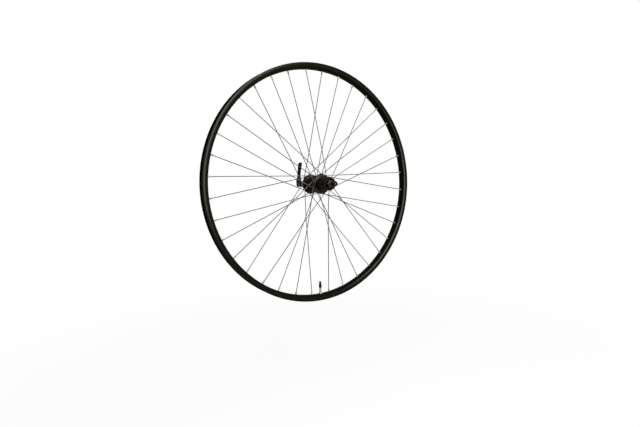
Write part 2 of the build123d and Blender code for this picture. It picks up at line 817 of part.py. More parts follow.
with BuildPart() as qr_cam_pad:
    with BuildSketch(axle_plane(pad_seat)):
        Circle(cup_floor_radius - fit_clearance)
        Circle(rod_hole / 2, mode=Mode.SUBTRACT)
    extrude(amount=pad_depth)
    with BuildSketch(Plane.YZ):
        with Locations((cam_centre, 0)):
            Circle(cam_radius + fit_clearance)
    extrude(amount=cup_diameter, both=True, mode=Mode.SUBTRACT)
finish(qr_cam_pad.part, "qr_cam_pad")

with BuildPart() as qr_cross_pin:
    with BuildSketch(Plane.YZ):
        with Locations((lever_pivot, 0)):
            Circle(cross_pin_radius)
    extrude(amount=cross_pin_length / 2, both=True)
    with BuildSketch(axle_plane(lever_pivot)):
        Circle(rod_radius + seat_clearance)
    extrude(amount=cross_pin_diameter, both=True, mode=Mode.SUBTRACT)
finish(qr_cross_pin.part, "qr_cross_pin")

lever_back = cam_centre + cam_radius
lever_middle = lever_back + lever_bow - lever_lean / 2
lever_tip = lever_back - lever_lean
arm_root = lever_back - lever_thickness
root_height = math.sqrt(cam_radius**2 - (arm_root - cam_centre) ** 2)
tip_shoulder = lever_length - lever_tip_width / 2
panel_height = tip_shoulder - lever_length / 2
panel_floor = lever_thickness - lever_panel_depth
with BuildPart() as qr_lever:
    with BuildSketch(Plane.YZ):
        with Locations((cam_centre, 0)):
            Circle(cam_radius)
        with BuildLine():
            ThreePointArc((lever_back, 0), (lever_middle, lever_length / 2), (lever_tip, lever_length))
            Line((lever_tip, lever_length), (lever_tip - lever_thickness, lever_length))
            ThreePointArc(
                (lever_tip - lever_thickness, lever_length),
                (lever_middle - lever_thickness, lever_length / 2),
                (arm_root, root_height),
            )
            Polyline((arm_root, root_height), (cam_centre, 0), (lever_back, 0))
        make_face()
    extrude(amount=lever_head_width / 2, both=True)
    with BuildSketch(Plane.XZ):
        with BuildLine():
            Polyline(
                (0, lever_length),
                (0, -2 * cam_radius),
                (lever_head_width / 2, -2 * cam_radius),
                (lever_head_width / 2, root_height),
            )
            Spline(
                (lever_head_width / 2, root_height),
                (lever_waist_width / 2, lever_waist_height),
                tangents=((0, 1), (0, 1)),
            )
            Line((lever_waist_width / 2, lever_waist_height), (lever_tip_width / 2, tip_shoulder))
            RadiusArc((lever_tip_width / 2, tip_shoulder), (0, lever_length), -lever_tip_width / 2)
        make_face()
        mirror(about=Plane.YZ)
    extrude(amount=2 * lever_pivot, both=True, mode=Mode.INTERSECT)
    with BuildSketch(Plane.XZ):
        with Locations((0, lever_slot / 2 - cam_radius)):
            Rectangle(lever_slot, 2 * cam_radius)
    extrude(amount=2 * lever_pivot, both=True, mode=Mode.SUBTRACT)
    with BuildSketch(Plane.YZ):
        with Locations((lever_pivot, 0)):
            Circle(cross_pin_radius + running_clearance)
    extrude(amount=lever_head_width, both=True, mode=Mode.SUBTRACT)
    with BuildSketch(Plane.YZ):
        with BuildLine():
            panel_arc = ThreePointArc(
                (lever_back - panel_floor, 0),
                (lever_middle - panel_floor, lever_length / 2),
                (lever_tip - panel_floor, lever_length),
            )
            Polyline(
                panel_arc @ 1,
                (lever_tip - 2 * lever_thickness, lever_length),
                (lever_tip - 2 * lever_thickness, 0),
                panel_arc @ 0,
            )
        make_face()
        with Locations((lever_tip, tip_shoulder - panel_height / 2)):
            Rectangle(2 * lever_length, panel_height, mode=Mode.INTERSECT)
    extrude(amount=lever_tip_width / 2 - lever_panel_margin, both=True, mode=Mode.SUBTRACT)
finish(qr_lever.part, "qr_lever")

# Valve, standing up from the lowest point of the rim
valve_base = -bed_radius
stem_top = valve_base + valve_reach
stem_radius = valve_diameter / 2
foot_top = -tape_radius - fit_clearance
foot_bottom = foot_top - valve_foot_height
stem_bottom = foot_bottom - valve_flange_height
core_top = stem_top + core_rise
cap_bottom = stem_top - cap_overlap
cap_top = cap_bottom + cap_height
thread_top = stem_top + free_clearance

with BuildPart() as valve_foot:
    with BuildSketch(Plane.XY.offset(foot_bottom)):
        Circle(valve_foot_diameter / 2)
    extrude(amount=valve_foot_height)
    with BuildSketch(Plane.XY.offset(foot_top)):
        Circle(access_hole_diameter / 2 - free_clearance)
    extrude(amount=-chamber_roof - foot_top)
    with BuildSketch(Plane.XY.offset(foot_bottom)):
        Circle(stem_radius + seat_clearance)
    extrude(amount=valve_reach, mode=Mode.SUBTRACT)
finish(valve_foot.part, "valve_foot")

with BuildPart() as valve_stem:
    with BuildSketch(Plane.XY.offset(stem_bottom)):
        Circle(valve_flange_diameter / 2)
    extrude(amount=valve_flange_height)
    with BuildSketch(Plane.XY.offset(stem_bottom)):
        Circle(stem_radius)
    extrude(amount=stem_top - stem_bottom)
    with BuildSketch(Plane.XY.offset(stem_bottom)):
        Circle(valve_bore / 2)
    extrude(amount=stem_top - stem_bottom, mode=Mode.SUBTRACT)
finish(valve_stem.part, "valve_stem")

with BuildPart() as valve_lock_nut:
    with BuildSketch(Plane.XY.offset(valve_base + fit_clearance)):
        Circle(valve_nut_diameter / 2)
        with PolarLocations(valve_nut_diameter / 2, valve_nut_grips):
            Circle(valve_nut_grip_depth, mode=Mode.SUBTRACT)
        Circle(stem_radius + seat_clearance, mode=Mode.SUBTRACT)
    extrude(amount=valve_nut_height)
finish(valve_lock_nut.part, "valve_lock_nut")

with BuildPart() as valve_core:
    with BuildSketch(Plane.XY.offset(stem_top)):
        Circle(core_diameter / 2)
    extrude(amount=core_rise)
    with BuildSketch(Plane.XY.offset(stem_top)):
        Circle(valve_bore / 2 - seat_clearance)
    extrude(amount=-core_depth)
    with BuildSketch(Plane.XY.offset(stem_top - core_depth)):
        Circle(pin_diameter / 2 + fit_clearance)
    extrude(amount=core_depth + core_rise, mode=Mode.SUBTRACT)
finish(valve_core.part, "valve_core")

with BuildPart() as valve_pin:
    with BuildSketch(Plane.XY.offset(stem_top - core_depth / 2)):
        Circle(pin_diameter / 2)
    extrude(amount=core_depth / 2 + core_rise + pin_rise)
    with BuildSketch(Plane.XY.offset(core_top + pin_travel + free_clearance)):
        Circle(pin_nut_diameter / 2)
    extrude(amount=pin_nut_height)
finish(valve_pin.part, "valve_pin")

with BuildPart() as valve_cap:
    with BuildSketch(Plane.XZ) as cap_section:
        with BuildLine():
            Polyline(
                (stem_radius + fit_clearance, cap_bottom),
                (cap_diameter / 2, cap_bottom),
                (cap_diameter / 2, cap_bottom + cap_skirt),
                (cap_neck_diameter / 2, cap_bottom + cap_skirt),
                (cap_neck_diameter / 2, cap_top),
                (0, cap_top),
                (0, cap_top - cap_roof),
                (cap_neck_diameter / 2 - cap_wall, cap_top - cap_roof),
                (cap_neck_diameter / 2 - cap_wall, thread_top),
                (stem_radius + fit_clearance, thread_top),
                close=True,
            )
        make_face()
        cap_edge = cap_section.vertices().group_by(Axis.Y)[-1].sort_by(Axis.X)[-1]
        fillet(cap_edge, cap_fillet)
    revolve(axis=Axis.Z)
finish(valve_cap.part, "valve_cap")
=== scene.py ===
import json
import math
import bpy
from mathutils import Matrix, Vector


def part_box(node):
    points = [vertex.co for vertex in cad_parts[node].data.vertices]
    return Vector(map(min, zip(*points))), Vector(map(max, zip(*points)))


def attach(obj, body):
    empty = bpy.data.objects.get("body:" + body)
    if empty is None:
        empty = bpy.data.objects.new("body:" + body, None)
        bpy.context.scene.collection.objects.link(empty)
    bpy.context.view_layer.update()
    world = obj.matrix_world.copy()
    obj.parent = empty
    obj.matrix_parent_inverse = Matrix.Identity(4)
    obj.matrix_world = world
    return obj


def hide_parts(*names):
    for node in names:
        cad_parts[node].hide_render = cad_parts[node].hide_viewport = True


bl_info = {
    "name": "Laced Rear Wheel",
    "version": (1, 0, 0),
    "blender": (4, 5, 0),
    "location": "3D View > Sidebar > Wheel",
    "description": "Dresses a packed rear wheel: laced spokes, nipples, threads, finishes and a studio",
    "category": "Object",
}

import bmesh
import bpy
from bpy.props import FloatProperty, FloatVectorProperty, IntProperty, PointerProperty
from bpy.types import Operator, Panel, PropertyGroup
from mathutils import Vector

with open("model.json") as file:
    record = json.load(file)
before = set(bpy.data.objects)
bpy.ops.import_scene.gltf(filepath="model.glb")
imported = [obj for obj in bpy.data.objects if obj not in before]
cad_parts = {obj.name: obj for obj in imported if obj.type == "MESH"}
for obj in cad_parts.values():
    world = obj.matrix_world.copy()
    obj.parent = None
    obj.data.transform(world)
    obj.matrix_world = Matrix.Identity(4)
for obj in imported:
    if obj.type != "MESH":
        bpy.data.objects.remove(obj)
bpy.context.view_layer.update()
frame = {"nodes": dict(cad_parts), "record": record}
WHITE = (1.0, 1.0, 1.0, 1.0)
# Painted light: the warm colour of the studio lamps, laid into every finish's reflections as a specular tint
# instead of into the lamps.
PAINTED_WARM_LAMP_TINT = (1.0, 0.92, 0.78, 1.0)
NOISE_DETAIL = 4.0
NOISE_LOW, NOISE_HIGH = 0.3, 0.7
SMOOTH_LIMIT = math.radians(32)
NIPPLE_SMOOTH_LIMIT = math.radians(35)
EASED_CORNER = math.radians(40)
MERGE_DISTANCE = 0.000002
SEAL_EDGE = 0.0112


class LacingSizes(PropertyGroup):
    """How the spokes run from the hub's flanges to the rim."""

    spoke_count: IntProperty(name="Spokes", description="Spokes in the wheel", default=36, min=4)
    crossings: IntProperty(name="Crossings", description="Spokes that each one crosses", default=3, min=0)
    spoke_diameter: FloatProperty(
        name="Wire", description="Diameter of the spoke wire", default=0.002, precision=4, unit="LENGTH"
    )
    wire_sides: IntProperty(name="Wire sides", description="Faces around the wire", default=14, min=6)
    bend_radius: FloatProperty(
        name="Elbow", description="Bend radius of the elbow", default=0.0018, precision=4, unit="LENGTH"
    )
    head_diameter: FloatProperty(
        name="Head", description="Diameter of the spoke head", default=0.0038, precision=4, unit="LENGTH"
    )
    head_height: FloatProperty(
        name="Head height", description="Height of the domed head", default=0.0012, precision=4, unit="LENGTH"
    )
    hole_circle: FloatProperty(
        name="Hole circle", description="Radius of the flange hole circle",
        default=0.024, precision=4, unit="LENGTH",
    )
    left_flange: FloatProperty(
        name="Left flange", description="Place of the left flange on the axle", default=0.034, unit="LENGTH"
    )
    drive_flange: FloatProperty(
        name="Drive flange", description="Place of the drive flange on the axle",
        default=-0.0209, unit="LENGTH",
    )
    flange_thickness: FloatProperty(
        name="Flange", description="Thickness of a flange", default=0.0028, precision=4, unit="LENGTH"
    )
    elbow_reach: FloatProperty(
        name="Elbow reach", description="How far the wire stands off the flange",
        default=0.0021, unit="LENGTH",
    )
    bed_radius: FloatProperty(
        name="Spoke bed", description="Radius of the rim's spoke bed", default=0.3015, unit="LENGTH"
    )
    bed_wall: FloatProperty(
        name="Bed wall", description="Wall of the spoke bed", default=0.0014, precision=4, unit="LENGTH"
    )
    hole_stagger: FloatProperty(
        name="Stagger", description="Rim holes off the mid plane", default=0.0015, precision=4, unit="LENGTH"
    )
    lace_gap: FloatProperty(
        name="Lace gap", description="Air between laced wires", default=0.00005, precision=5, unit="LENGTH"
    )


class RimSides(PropertyGroup):
    """The rim's softly crowned sides, its brake tracks, and its dull spoke bed and lips."""

    crown_foot: FloatProperty(
        name="Crown foot", description="Radius at which the crown starts",
        default=0.303, precision=4, unit="LENGTH",
    )
    crown_lip: FloatProperty(
        name="Crown lip", description="Radius at which the crown ends",
        default=0.316, precision=4, unit="LENGTH",
    )
    foot_lean: FloatProperty(
        name="Foot lean", description="How far the side faces the axle at the foot", default=-0.51,
        min=-1.0, max=1.0, subtype="FACTOR",
    )
    lip_lean: FloatProperty(
        name="Lip lean", description="How far the side faces outwards at the lip", default=0.10,
        min=-1.0, max=1.0, subtype="FACTOR",
    )
    track_foot: FloatProperty(
        name="Track foot", description="Radius at the foot of the brake track",
        default=0.3065, precision=4, unit="LENGTH",
    )
    skin_half: FloatProperty(
        name="Skin", description="Half width past which a wall is the outer one",
        default=0.0118, precision=4, unit="LENGTH",
    )
    chamber_roof: FloatProperty(
        name="Chamber", description="Radius up to which the rim is closed",
        default=0.3085, precision=4, unit="LENGTH",
    )
    bed_half: FloatProperty(
        name="Bed half", description="Half width of the spoke bed", default=0.0057, precision=4, unit="LENGTH"
    )
    bed_edge: FloatProperty(
        name="Bed edge", description="Radius that the spoke bed and its slopes reach", default=0.3035,
        precision=4, unit="LENGTH",
    )
    ring_pitch: FloatProperty(
        name="Ring pitch", description="Spacing of the brushed rings on the tracks", default=0.0004,
        precision=5, unit="LENGTH",
    )
    joint_half: FloatProperty(
        name="Joint", description="Half width of the joint line opposite the valve", default=0.0001,
        precision=5, unit="LENGTH",
    )


class NippleSizes(PropertyGroup):
    """One spoke nipple."""

    length: FloatProperty(
        name="Length", description="Whole length", default=0.012, precision=4, unit="LENGTH"
    )
    head_height: FloatProperty(
        name="Head height", description="Height of the head", default=0.002, precision=4, unit="LENGTH"
    )
    head_radius: FloatProperty(
        name="Head", description="Radius of the head", default=0.0030, precision=4, unit="LENGTH"
    )
    neck_radius: FloatProperty(
        name="Neck", description="Radius of the round neck", default=0.00195, precision=5, unit="LENGTH"
    )
    half_flats: FloatProperty(
        name="Flats", description="Half the width over the key flats",
        default=0.00165, precision=5, unit="LENGTH",
    )
    bore_radius: FloatProperty(
        name="Bore", description="Radius of the bore", default=0.00108, precision=5, unit="LENGTH"
    )
    seat_lift: FloatProperty(
        name="Seat", description="Head above the bed wall", default=0.00045, precision=5, unit="LENGTH"
    )
    neck_blend: FloatProperty(
        name="Neck blend", description="Step from the head to the neck",
        default=0.0002, precision=5, unit="LENGTH",
    )
    corner_reach: FloatProperty(
        name="Corners", description="Reach of a rounded corner against the flats", default=1.19, min=1.0
    )


class ThreadSizes(PropertyGroup):
    """Threads that show, and the springs on the skewer."""

    axle_pitch: FloatProperty(
        name="Axle pitch", description="Pitch of the axle thread", default=0.001, precision=5, unit="LENGTH"
    )
    axle_depth: FloatProperty(
        name="Axle depth", description="Depth of the axle thread", default=0.0005, precision=5, unit="LENGTH"
    )
    axle_bore: FloatProperty(
        name="Axle bore", description="Bore radius of the hollow axle",
        default=0.0026, precision=4, unit="LENGTH",
    )
    axle_run: FloatProperty(
        name="Axle run", description="Threaded length at each end of the axle",
        default=0.022, precision=4, unit="LENGTH",
    )
    valve_radius: FloatProperty(
        name="Valve", description="Radius of the valve stem", default=0.003, precision=4, unit="LENGTH"
    )
    valve_bore: FloatProperty(
        name="Valve bore", description="Bore radius of the valve stem",
        default=0.0015, precision=4, unit="LENGTH",
    )
    valve_flange: FloatProperty(
        name="Valve flange", description="Height of the stem's flange",
        default=0.001, precision=4, unit="LENGTH",
    )
    valve_lead: FloatProperty(
        name="Valve lead", description="Plain stem under the thread",
        default=0.001, precision=4, unit="LENGTH",
    )
    valve_end: FloatProperty(
        name="Valve end", description="Plain stem over the thread", default=0.0004, precision=4, unit="LENGTH"
    )
    valve_pitch: FloatProperty(
        name="Valve pitch", description="Pitch of the valve thread",
        default=0.0008, precision=5, unit="LENGTH",
    )
    valve_depth: FloatProperty(
        name="Valve depth", description="Depth of the valve thread",
        default=0.0003, precision=5, unit="LENGTH",
    )
    spring_wire: FloatProperty(
        name="Spring wire", description="Wire of the conical springs",
        default=0.001, precision=5, unit="LENGTH",
    )
    spring_gap: FloatProperty(
        name="Spring gap", description="Air between the axle and a spring",
        default=0.0001, precision=5, unit="LENGTH",
    )
    spring_turns: FloatProperty(
        name="Spring turns", description="Turns of a conical spring", default=3.0, min=0.5
    )
    spring_small: FloatProperty(
        name="Small end", description="Coil radius at the axle", default=0.0038, precision=5, unit="LENGTH"
    )
    spring_large: FloatProperty(
        name="Large end", description="Coil radius at the outer end",
        default=0.006, precision=5, unit="LENGTH",
    )


class WheelFinishes(PropertyGroup):
    """Base colours of the wheel's finishes."""

    rim_black: FloatVectorProperty(
        name="Rim", description="Anodised rim", subtype="COLOR", default=(0.0021, 0.0017, 0.0010)
    )
    hub_black: FloatVectorProperty(
        name="Hub", description="Anodised hub shell", subtype="COLOR", default=(0.0036, 0.0027, 0.0022)
    )
    release_black: FloatVectorProperty(
        name="Release", description="Lever, cup and nut", subtype="COLOR", default=(0.0034, 0.0026, 0.0022)
    )
    wire_grey: FloatVectorProperty(
        name="Wire", description="Drawn spoke wire", subtype="COLOR", default=(0.045, 0.0435, 0.041)
    )
    nipple_brass: FloatVectorProperty(
        name="Nipple", description="Dull brass", subtype="COLOR", default=(0.165, 0.128, 0.08)
    )
    valve_brass: FloatVectorProperty(
        name="Valve", description="Bare valve brass", subtype="COLOR", default=(0.46, 0.39, 0.29)
    )
    nickel: FloatVectorProperty(
        name="Nickel", description="Plated lock nut", subtype="COLOR", default=(0.60, 0.57, 0.50)
    )
    freehub_dark: FloatVectorProperty(
        name="Freehub", description="Phosphated steel", subtype="COLOR", default=(0.0045, 0.0033, 0.0027)
    )
    axle_steel: FloatVectorProperty(
        name="Axle", description="Dark plated steel", subtype="COLOR", default=(0.06, 0.055, 0.05)
    )
    bright_steel: FloatVectorProperty(
        name="Bright steel", description="Ground and zinc plated steel", subtype="COLOR",
        default=(0.42, 0.41, 0.40),
    )
    spacer_grey: FloatVectorProperty(
        name="Spacers", description="Turned aluminium", subtype="COLOR", default=(0.55, 0.55, 0.54)
    )
    tape_grey: FloatVectorProperty(
        name="Tape", description="Rim tape film", subtype="COLOR", default=(0.03, 0.03, 0.032)
    )
    plastic_black: FloatVectorProperty(
        name="Plastic", description="Moulded caps and pad", subtype="COLOR", default=(0.0025, 0.0025, 0.0025)
    )
    rubber_black: FloatVectorProperty(
        name="Rubber", description="Seal and valve foot", subtype="COLOR", default=(0.014, 0.014, 0.014)
    )


class StudioSettings(PropertyGroup):
    """Camera, floor and lights."""

    camera_place: FloatVectorProperty(
        name="Camera", description="Place of the camera", subtype="TRANSLATION", unit="LENGTH",
        default=(-0.618494, -1.000209, 0.013846),
    )
    camera_turn: FloatVectorProperty(
        name="Camera turn", description="Turn of the camera", subtype="EULER",
        default=(math.radians(85.4249), math.radians(1.64323), math.radians(-32.1092)),
    )
    lens: FloatProperty(
        name="Lens", description="Focal length in millimetres", default=24.432, precision=3, unit="CAMERA"
    )
    floor_height: FloatProperty(
        name="Floor", description="Height of the floor under the held wheel", default=-0.62, unit="LENGTH"
    )
    paper: FloatVectorProperty(
        name="Paper", description="Colour of the floor", subtype="COLOR", default=(0.86, 0.86, 0.86)
    )
    sky: FloatProperty(
        name="Sky", description="Soft light from all around", default=0.18, min=0.0, max=1.0, subtype="FACTOR"
    )
    key_place: FloatVectorProperty(
        name="Key place", description="Place of the front softbox", subtype="TRANSLATION", unit="LENGTH",
        default=(0.32, -1.5, 0.42),
    )
    key_size: FloatVectorProperty(
        name="Key size", description="Width and height of the front softbox", size=2, unit="LENGTH",
        default=(0.60, 1.22),
    )
    key_power: FloatProperty(name="Key", description="Power of the front softbox", default=46.0, unit="POWER")
    side_place: FloatVectorProperty(
        name="Side place", description="Place of the side softbox", subtype="TRANSLATION", unit="LENGTH",
        default=(-0.95, -0.72, 0.90),
    )
    side_size: FloatVectorProperty(
        name="Side size", description="Width and height of the side softbox", size=2, unit="LENGTH",
        default=(0.36, 0.36),
    )
    side_power: FloatProperty(name="Side", description="Power of the side softbox", default=8.0, unit="POWER")


def add(tree, kind, values=None, **settings):
    """Add a node, set its properties, and set or link each of its inputs."""
    made = tree.nodes.new(kind)
    for key, value in settings.items():
        setattr(made, key, value)
    for key, value in (values or {}).items():
        if isinstance(value, bpy.types.NodeSocket):
            tree.links.new(value, made.inputs[key])
        else:
            made.inputs[key].default_value = value
    return made


def math_node(tree, operation, first, second=0.0):
    """One step of arithmetic in a node tree."""
    return add(tree, "ShaderNodeMath", {0: first, 1: second}, operation=operation).outputs[0]


def new_finish(name, colour, metallic, roughness, gloss=0.5):
    """A material with its shader set, and the tree and places that its detail starts from."""
    material = bpy.data.materials.new(name)
    material.use_nodes = True
    tree = material.node_tree
    shader = tree.nodes["Principled BSDF"]
    shader.inputs["Base Color"].default_value = (*colour, 1.0)
    shader.inputs["Metallic"].default_value = metallic
    shader.inputs["Roughness"].default_value = roughness
    shader.inputs["Specular IOR Level"].default_value = gloss
    # Painted light: reflections tinted with the warm colour of the lamps.
    shader.inputs["Specular Tint"].default_value = PAINTED_WARM_LAMP_TINT
    place = add(tree, "ShaderNodeTexCoord").outputs["Object"]
    return material, tree, shader, place


def wheel_coordinates(tree, place):
    """Distance from the axle, and the place along it and up it."""
    split = add(tree, "ShaderNodeSeparateXYZ", {0: place})
    across, along, up = split.outputs
    flat = add(tree, "ShaderNodeCombineXYZ", {0: across, 1: up})
    radius = add(tree, "ShaderNodeVectorMath", {0: flat.outputs[0]}, operation="LENGTH").outputs["Value"]
    return radius, across, along, up


def speckle(tree, place, scale, low, high):
    """Noise of a scale, spread between two values."""
    noise = add(tree, "ShaderNodeTexNoise", {"Vector": place, "Scale": scale, "Detail": NOISE_DETAIL})
    spread = add(
        tree, "ShaderNodeMapRange",
        {"Value": noise.outputs[0], 1: NOISE_LOW, 2: NOISE_HIGH, 3: low, 4: high},
    )
    return spread.outputs[0]


def vary_colour(tree, shader, colour, amount):
    """Lighten and darken a colour by a varying amount."""
    mixed = add(
        tree, "ShaderNodeMix", {0: 1.0, 6: (*colour, 1.0), 7: amount}, data_type="RGBA", blend_type="MULTIPLY"
    )
    tree.links.new(mixed.outputs[2], shader.inputs["Base Color"])


def roughen(tree, shader, height, depth, normal=None):
    """Bump the surface, or the normal given for it, by a height from 0 to 1."""
    bump = add(tree, "ShaderNodeBump", {"Strength": 1.0, "Distance": depth, "Height": height})
    if normal:
        tree.links.new(normal, bump.inputs["Normal"])
    tree.links.new(bump.outputs[0], shader.inputs["Normal"])


def turned_finish(name, colour, metallic, roughness, pitch, depth, gloss=0.5):
    """A lathe-turned surface: fine rings about the axle under the finish."""
    material, tree, shader, place = new_finish(name, colour, metallic, roughness, gloss)
    radius, _, along, _ = wheel_coordinates(tree, place)
    sweep = math_node(tree, "ADD", radius, along)
    rings = math_node(tree, "SINE", math_node(tree, "MULTIPLY", sweep, math.tau / pitch))
    wander = speckle(tree, place, 900.0, -0.6, 0.6)
    roughen(tree, shader, math_node(tree, "ADD", rings, wander), depth)
    vary_colour(tree, shader, colour, speckle(tree, place, 160.0, 0.75, 1.25))
    tree.links.new(speckle(tree, place, 240.0, roughness * 0.85, roughness * 1.2), shader.inputs["Roughness"])
    return material


def moulded_finish(name, colour, roughness, grain):
    """Fine moulded texture on plastic or rubber."""
    material, tree, shader, place = new_finish(name, colour, 0.0, roughness, 0.04)
    roughen(tree, shader, speckle(tree, place, grain, 0.0, 1.0), 0.00004)
    vary_colour(tree, shader, colour, speckle(tree, place, 120.0, 0.75, 1.3))
    tree.links.new(speckle(tree, place, 300.0, roughness * 0.9, roughness * 1.1), shader.inputs["Roughness"])
    return material


def crowned_normal(tree, sides, radius, across, along, up):
    """The normal of softly crowned rim sides: leaning out at the lip and in at the spoke bed."""
    crown = add(
        tree, "ShaderNodeMapRange",
        {"Value": radius, 1: sides.crown_foot, 2: sides.crown_lip, 3: sides.foot_lean, 4: sides.lip_lean},
    )
    lean = crown.outputs[0]
    share = math_node(tree, "DIVIDE", lean, radius)
    flat = math_node(tree, "SQRT", math_node(tree, "SUBTRACT", 1.0, math_node(tree, "MULTIPLY", lean, lean)))
    aside = math_node(tree, "MULTIPLY", math_node(tree, "SIGN", along), flat)
    crowned = add(
        tree, "ShaderNodeCombineXYZ",
        {0: math_node(tree, "MULTIPLY", across, share), 1: aside, 2: math_node(tree, "MULTIPLY", up, share)},
    )
    turned = add(
        tree, "ShaderNodeVectorTransform", {0: crowned.outputs[0]},
        vector_type="NORMAL", convert_from="OBJECT", convert_to="WORLD",
    )
    off_middle = math_node(tree, "ABSOLUTE", along)
    low_side = math_node(tree, "LESS_THAN", radius, sides.chamber_roof)
    high_side = math_node(tree, "GREATER_THAN", off_middle, sides.skin_half)
    side = math_node(tree, "MAXIMUM", low_side, high_side)
    side = math_node(tree, "MULTIPLY", side, math_node(tree, "GREATER_THAN", off_middle, sides.bed_half))
    side = math_node(tree, "MULTIPLY", side, math_node(tree, "LESS_THAN", radius, sides.crown_lip))
    plain = add(tree, "ShaderNodeNewGeometry").outputs["Normal"]
    mixed = add(tree, "ShaderNodeMix", {0: side, 4: plain, 5: turned.outputs[0]}, data_type="VECTOR")
    return mixed.outputs[1]


def rim_finish(colour, sides):
    """Black anodising on crowned sides, with brushed tracks and the joint line opposite the valve."""
    material, tree, shader, place = new_finish("rim_black_anodised", colour, 0.0, 0.18, 0.055)
    radius, across, along, up = wheel_coordinates(tree, place)
    on_side = math_node(tree, "GREATER_THAN", math_node(tree, "ABSOLUTE", along), sides.skin_half)
    on_track = math_node(tree, "MULTIPLY", on_side, math_node(tree, "GREATER_THAN", radius, sides.track_foot))
    rings = math_node(tree, "SINE", math_node(tree, "MULTIPLY", radius, math.tau / sides.ring_pitch))
    track = math_node(tree, "MULTIPLY", rings, math_node(tree, "MULTIPLY", on_track, 0.25))
    joint = math_node(tree, "LESS_THAN", math_node(tree, "ABSOLUTE", across), sides.joint_half)
    joint = math_node(tree, "MULTIPLY", joint, math_node(tree, "GREATER_THAN", up, 0.0))
    height = math_node(tree, "SUBTRACT", track, math_node(tree, "MULTIPLY", joint, 6.0))
    height = math_node(tree, "ADD", height, speckle(tree, place, 1400.0, -0.1, 0.1))
    roughen(tree, shader, height, 0.00001, crowned_normal(tree, sides, radius, across, along, up))
    tone = speckle(tree, place, 22.0, 0.8, 1.25)
    tone = math_node(tree, "MULTIPLY", tone, speckle(tree, place, 700.0, 0.85, 1.15))
    tone = math_node(tree, "ADD", tone, math_node(tree, "MULTIPLY", on_track, 0.35))
    tone = math_node(tree, "SUBTRACT", tone, math_node(tree, "MULTIPLY", joint, 0.6))
    vary_colour(tree, shader, colour, tone)
    tree.links.new(speckle(tree, place, 60.0, 0.15, 0.21), shader.inputs["Roughness"])
    return material


def wire_finish(colour):
    """Drawn stainless wire, a little uneven in shine."""
    material, tree, shader, place = new_finish("spoke_wire_drawn", colour, 1.0, 0.3)
    vary_colour(tree, shader, colour, speckle(tree, place, 90.0, 0.8, 1.25))
    tree.links.new(speckle(tree, place, 1500.0, 0.24, 0.4), shader.inputs["Roughness"])
    roughen(tree, shader, speckle(tree, place, 4000.0, 0.0, 1.0), 0.000006)
    return material


def brass_finish(name, colour, roughness):
    """Bare brass gone dull, darker in patches."""
    material, tree, shader, place = new_finish(name, colour, 0.85, roughness)
    vary_colour(tree, shader, colour, speckle(tree, place, 400.0, 0.7, 1.2))
    tree.links.new(speckle(tree, place, 900.0, roughness * 0.8, roughness * 1.3), shader.inputs["Roughness"])
    roughen(tree, shader, speckle(tree, place, 2500.0, 0.0, 1.0), 0.00001)
    return material


def phosphated_finish(colour):
    """Dark phosphated steel: even grain, slightly oily."""
    material, tree, shader, place = new_finish("freehub_phosphated", colour, 0.0, 0.42, 0.05)
    grain = speckle(tree, place, 2600.0, 0.0, 1.0)
    roughen(tree, shader, grain, 0.000015)
    vary_colour(tree, shader, colour, speckle(tree, place, 220.0, 0.7, 1.4))
    tree.links.new(speckle(tree, place, 180.0, 0.34, 0.52), shader.inputs["Roughness"])
    return material


def sealed_bearing_finish(steel, rubber):
    """A ground steel ring around a black seal."""
    material, tree, shader, place = new_finish("bearing_sealed", steel, 0.0, 0.4)
    radius = wheel_coordinates(tree, place)[0]
    outer = math_node(tree, "GREATER_THAN", radius, SEAL_EDGE)
    mixed = add(tree, "ShaderNodeMix", {0: outer, 6: (*rubber, 1.0), 7: (*steel, 1.0)}, data_type="RGBA")
    tree.links.new(mixed.outputs[2], shader.inputs["Base Color"])
    tree.links.new(outer, shader.inputs["Metallic"])
    tree.links.new(speckle(tree, place, 500.0, 0.3, 0.45), shader.inputs["Roughness"])
    return material


def wear(node, material):
    """Give a CAD node a finish in place of its plain one."""
    mesh = frame["nodes"][node].data
    mesh.materials.clear()
    mesh.materials.append(material)


def place_piece(name, mesh, body, slot, *nodes):
    """Link a finished mesh as a piece that rides on a body and stands for CAD nodes."""
    piece = bpy.data.objects.new(name, mesh)
    bpy.context.scene.collection.objects.link(piece)
    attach(piece, body)
    if nodes:
        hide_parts(*nodes)
    return piece


def body_and_slot(node):
    """The body that a CAD node rides on, and its material slot."""
    record = frame["record"]
    body = next(name for name, nodes in record["behaviour"]["bodies"].items() if node in nodes)
    slot = next(part["material_slot"] for part in record["subparts"] if part["node"] == node)
    return body, slot


def eased_copy(node, name, material, ease=0.0):
    """A copy of a CAD node with its sharp edges eased and its curves shaded smooth."""
    mesh = frame["nodes"][node].data.copy()
    mesh.name = name
    work = bmesh.new()
    work.from_mesh(mesh)
    bmesh.ops.remove_doubles(work, verts=work.verts, dist=MERGE_DISTANCE)
    if ease:
        sharp = [
            edge
            for edge in work.edges
            if len(edge.link_faces) == 2 and edge.calc_face_angle() > EASED_CORNER
        ]
        bmesh.ops.bevel(
            work, geom=sharp, offset=ease, offset_type="OFFSET", segments=2, profile=0.5,
            affect="EDGES", clamp_overlap=True,
        )
    work.to_mesh(mesh)
    work.free()
    mesh.shade_smooth()
    mesh.set_sharp_from_angle(angle=SMOOTH_LIMIT)
    mesh.materials.clear()
    mesh.materials.append(material)
    body, slot = body_and_slot(node)
    return place_piece(name, mesh, body, slot, node)


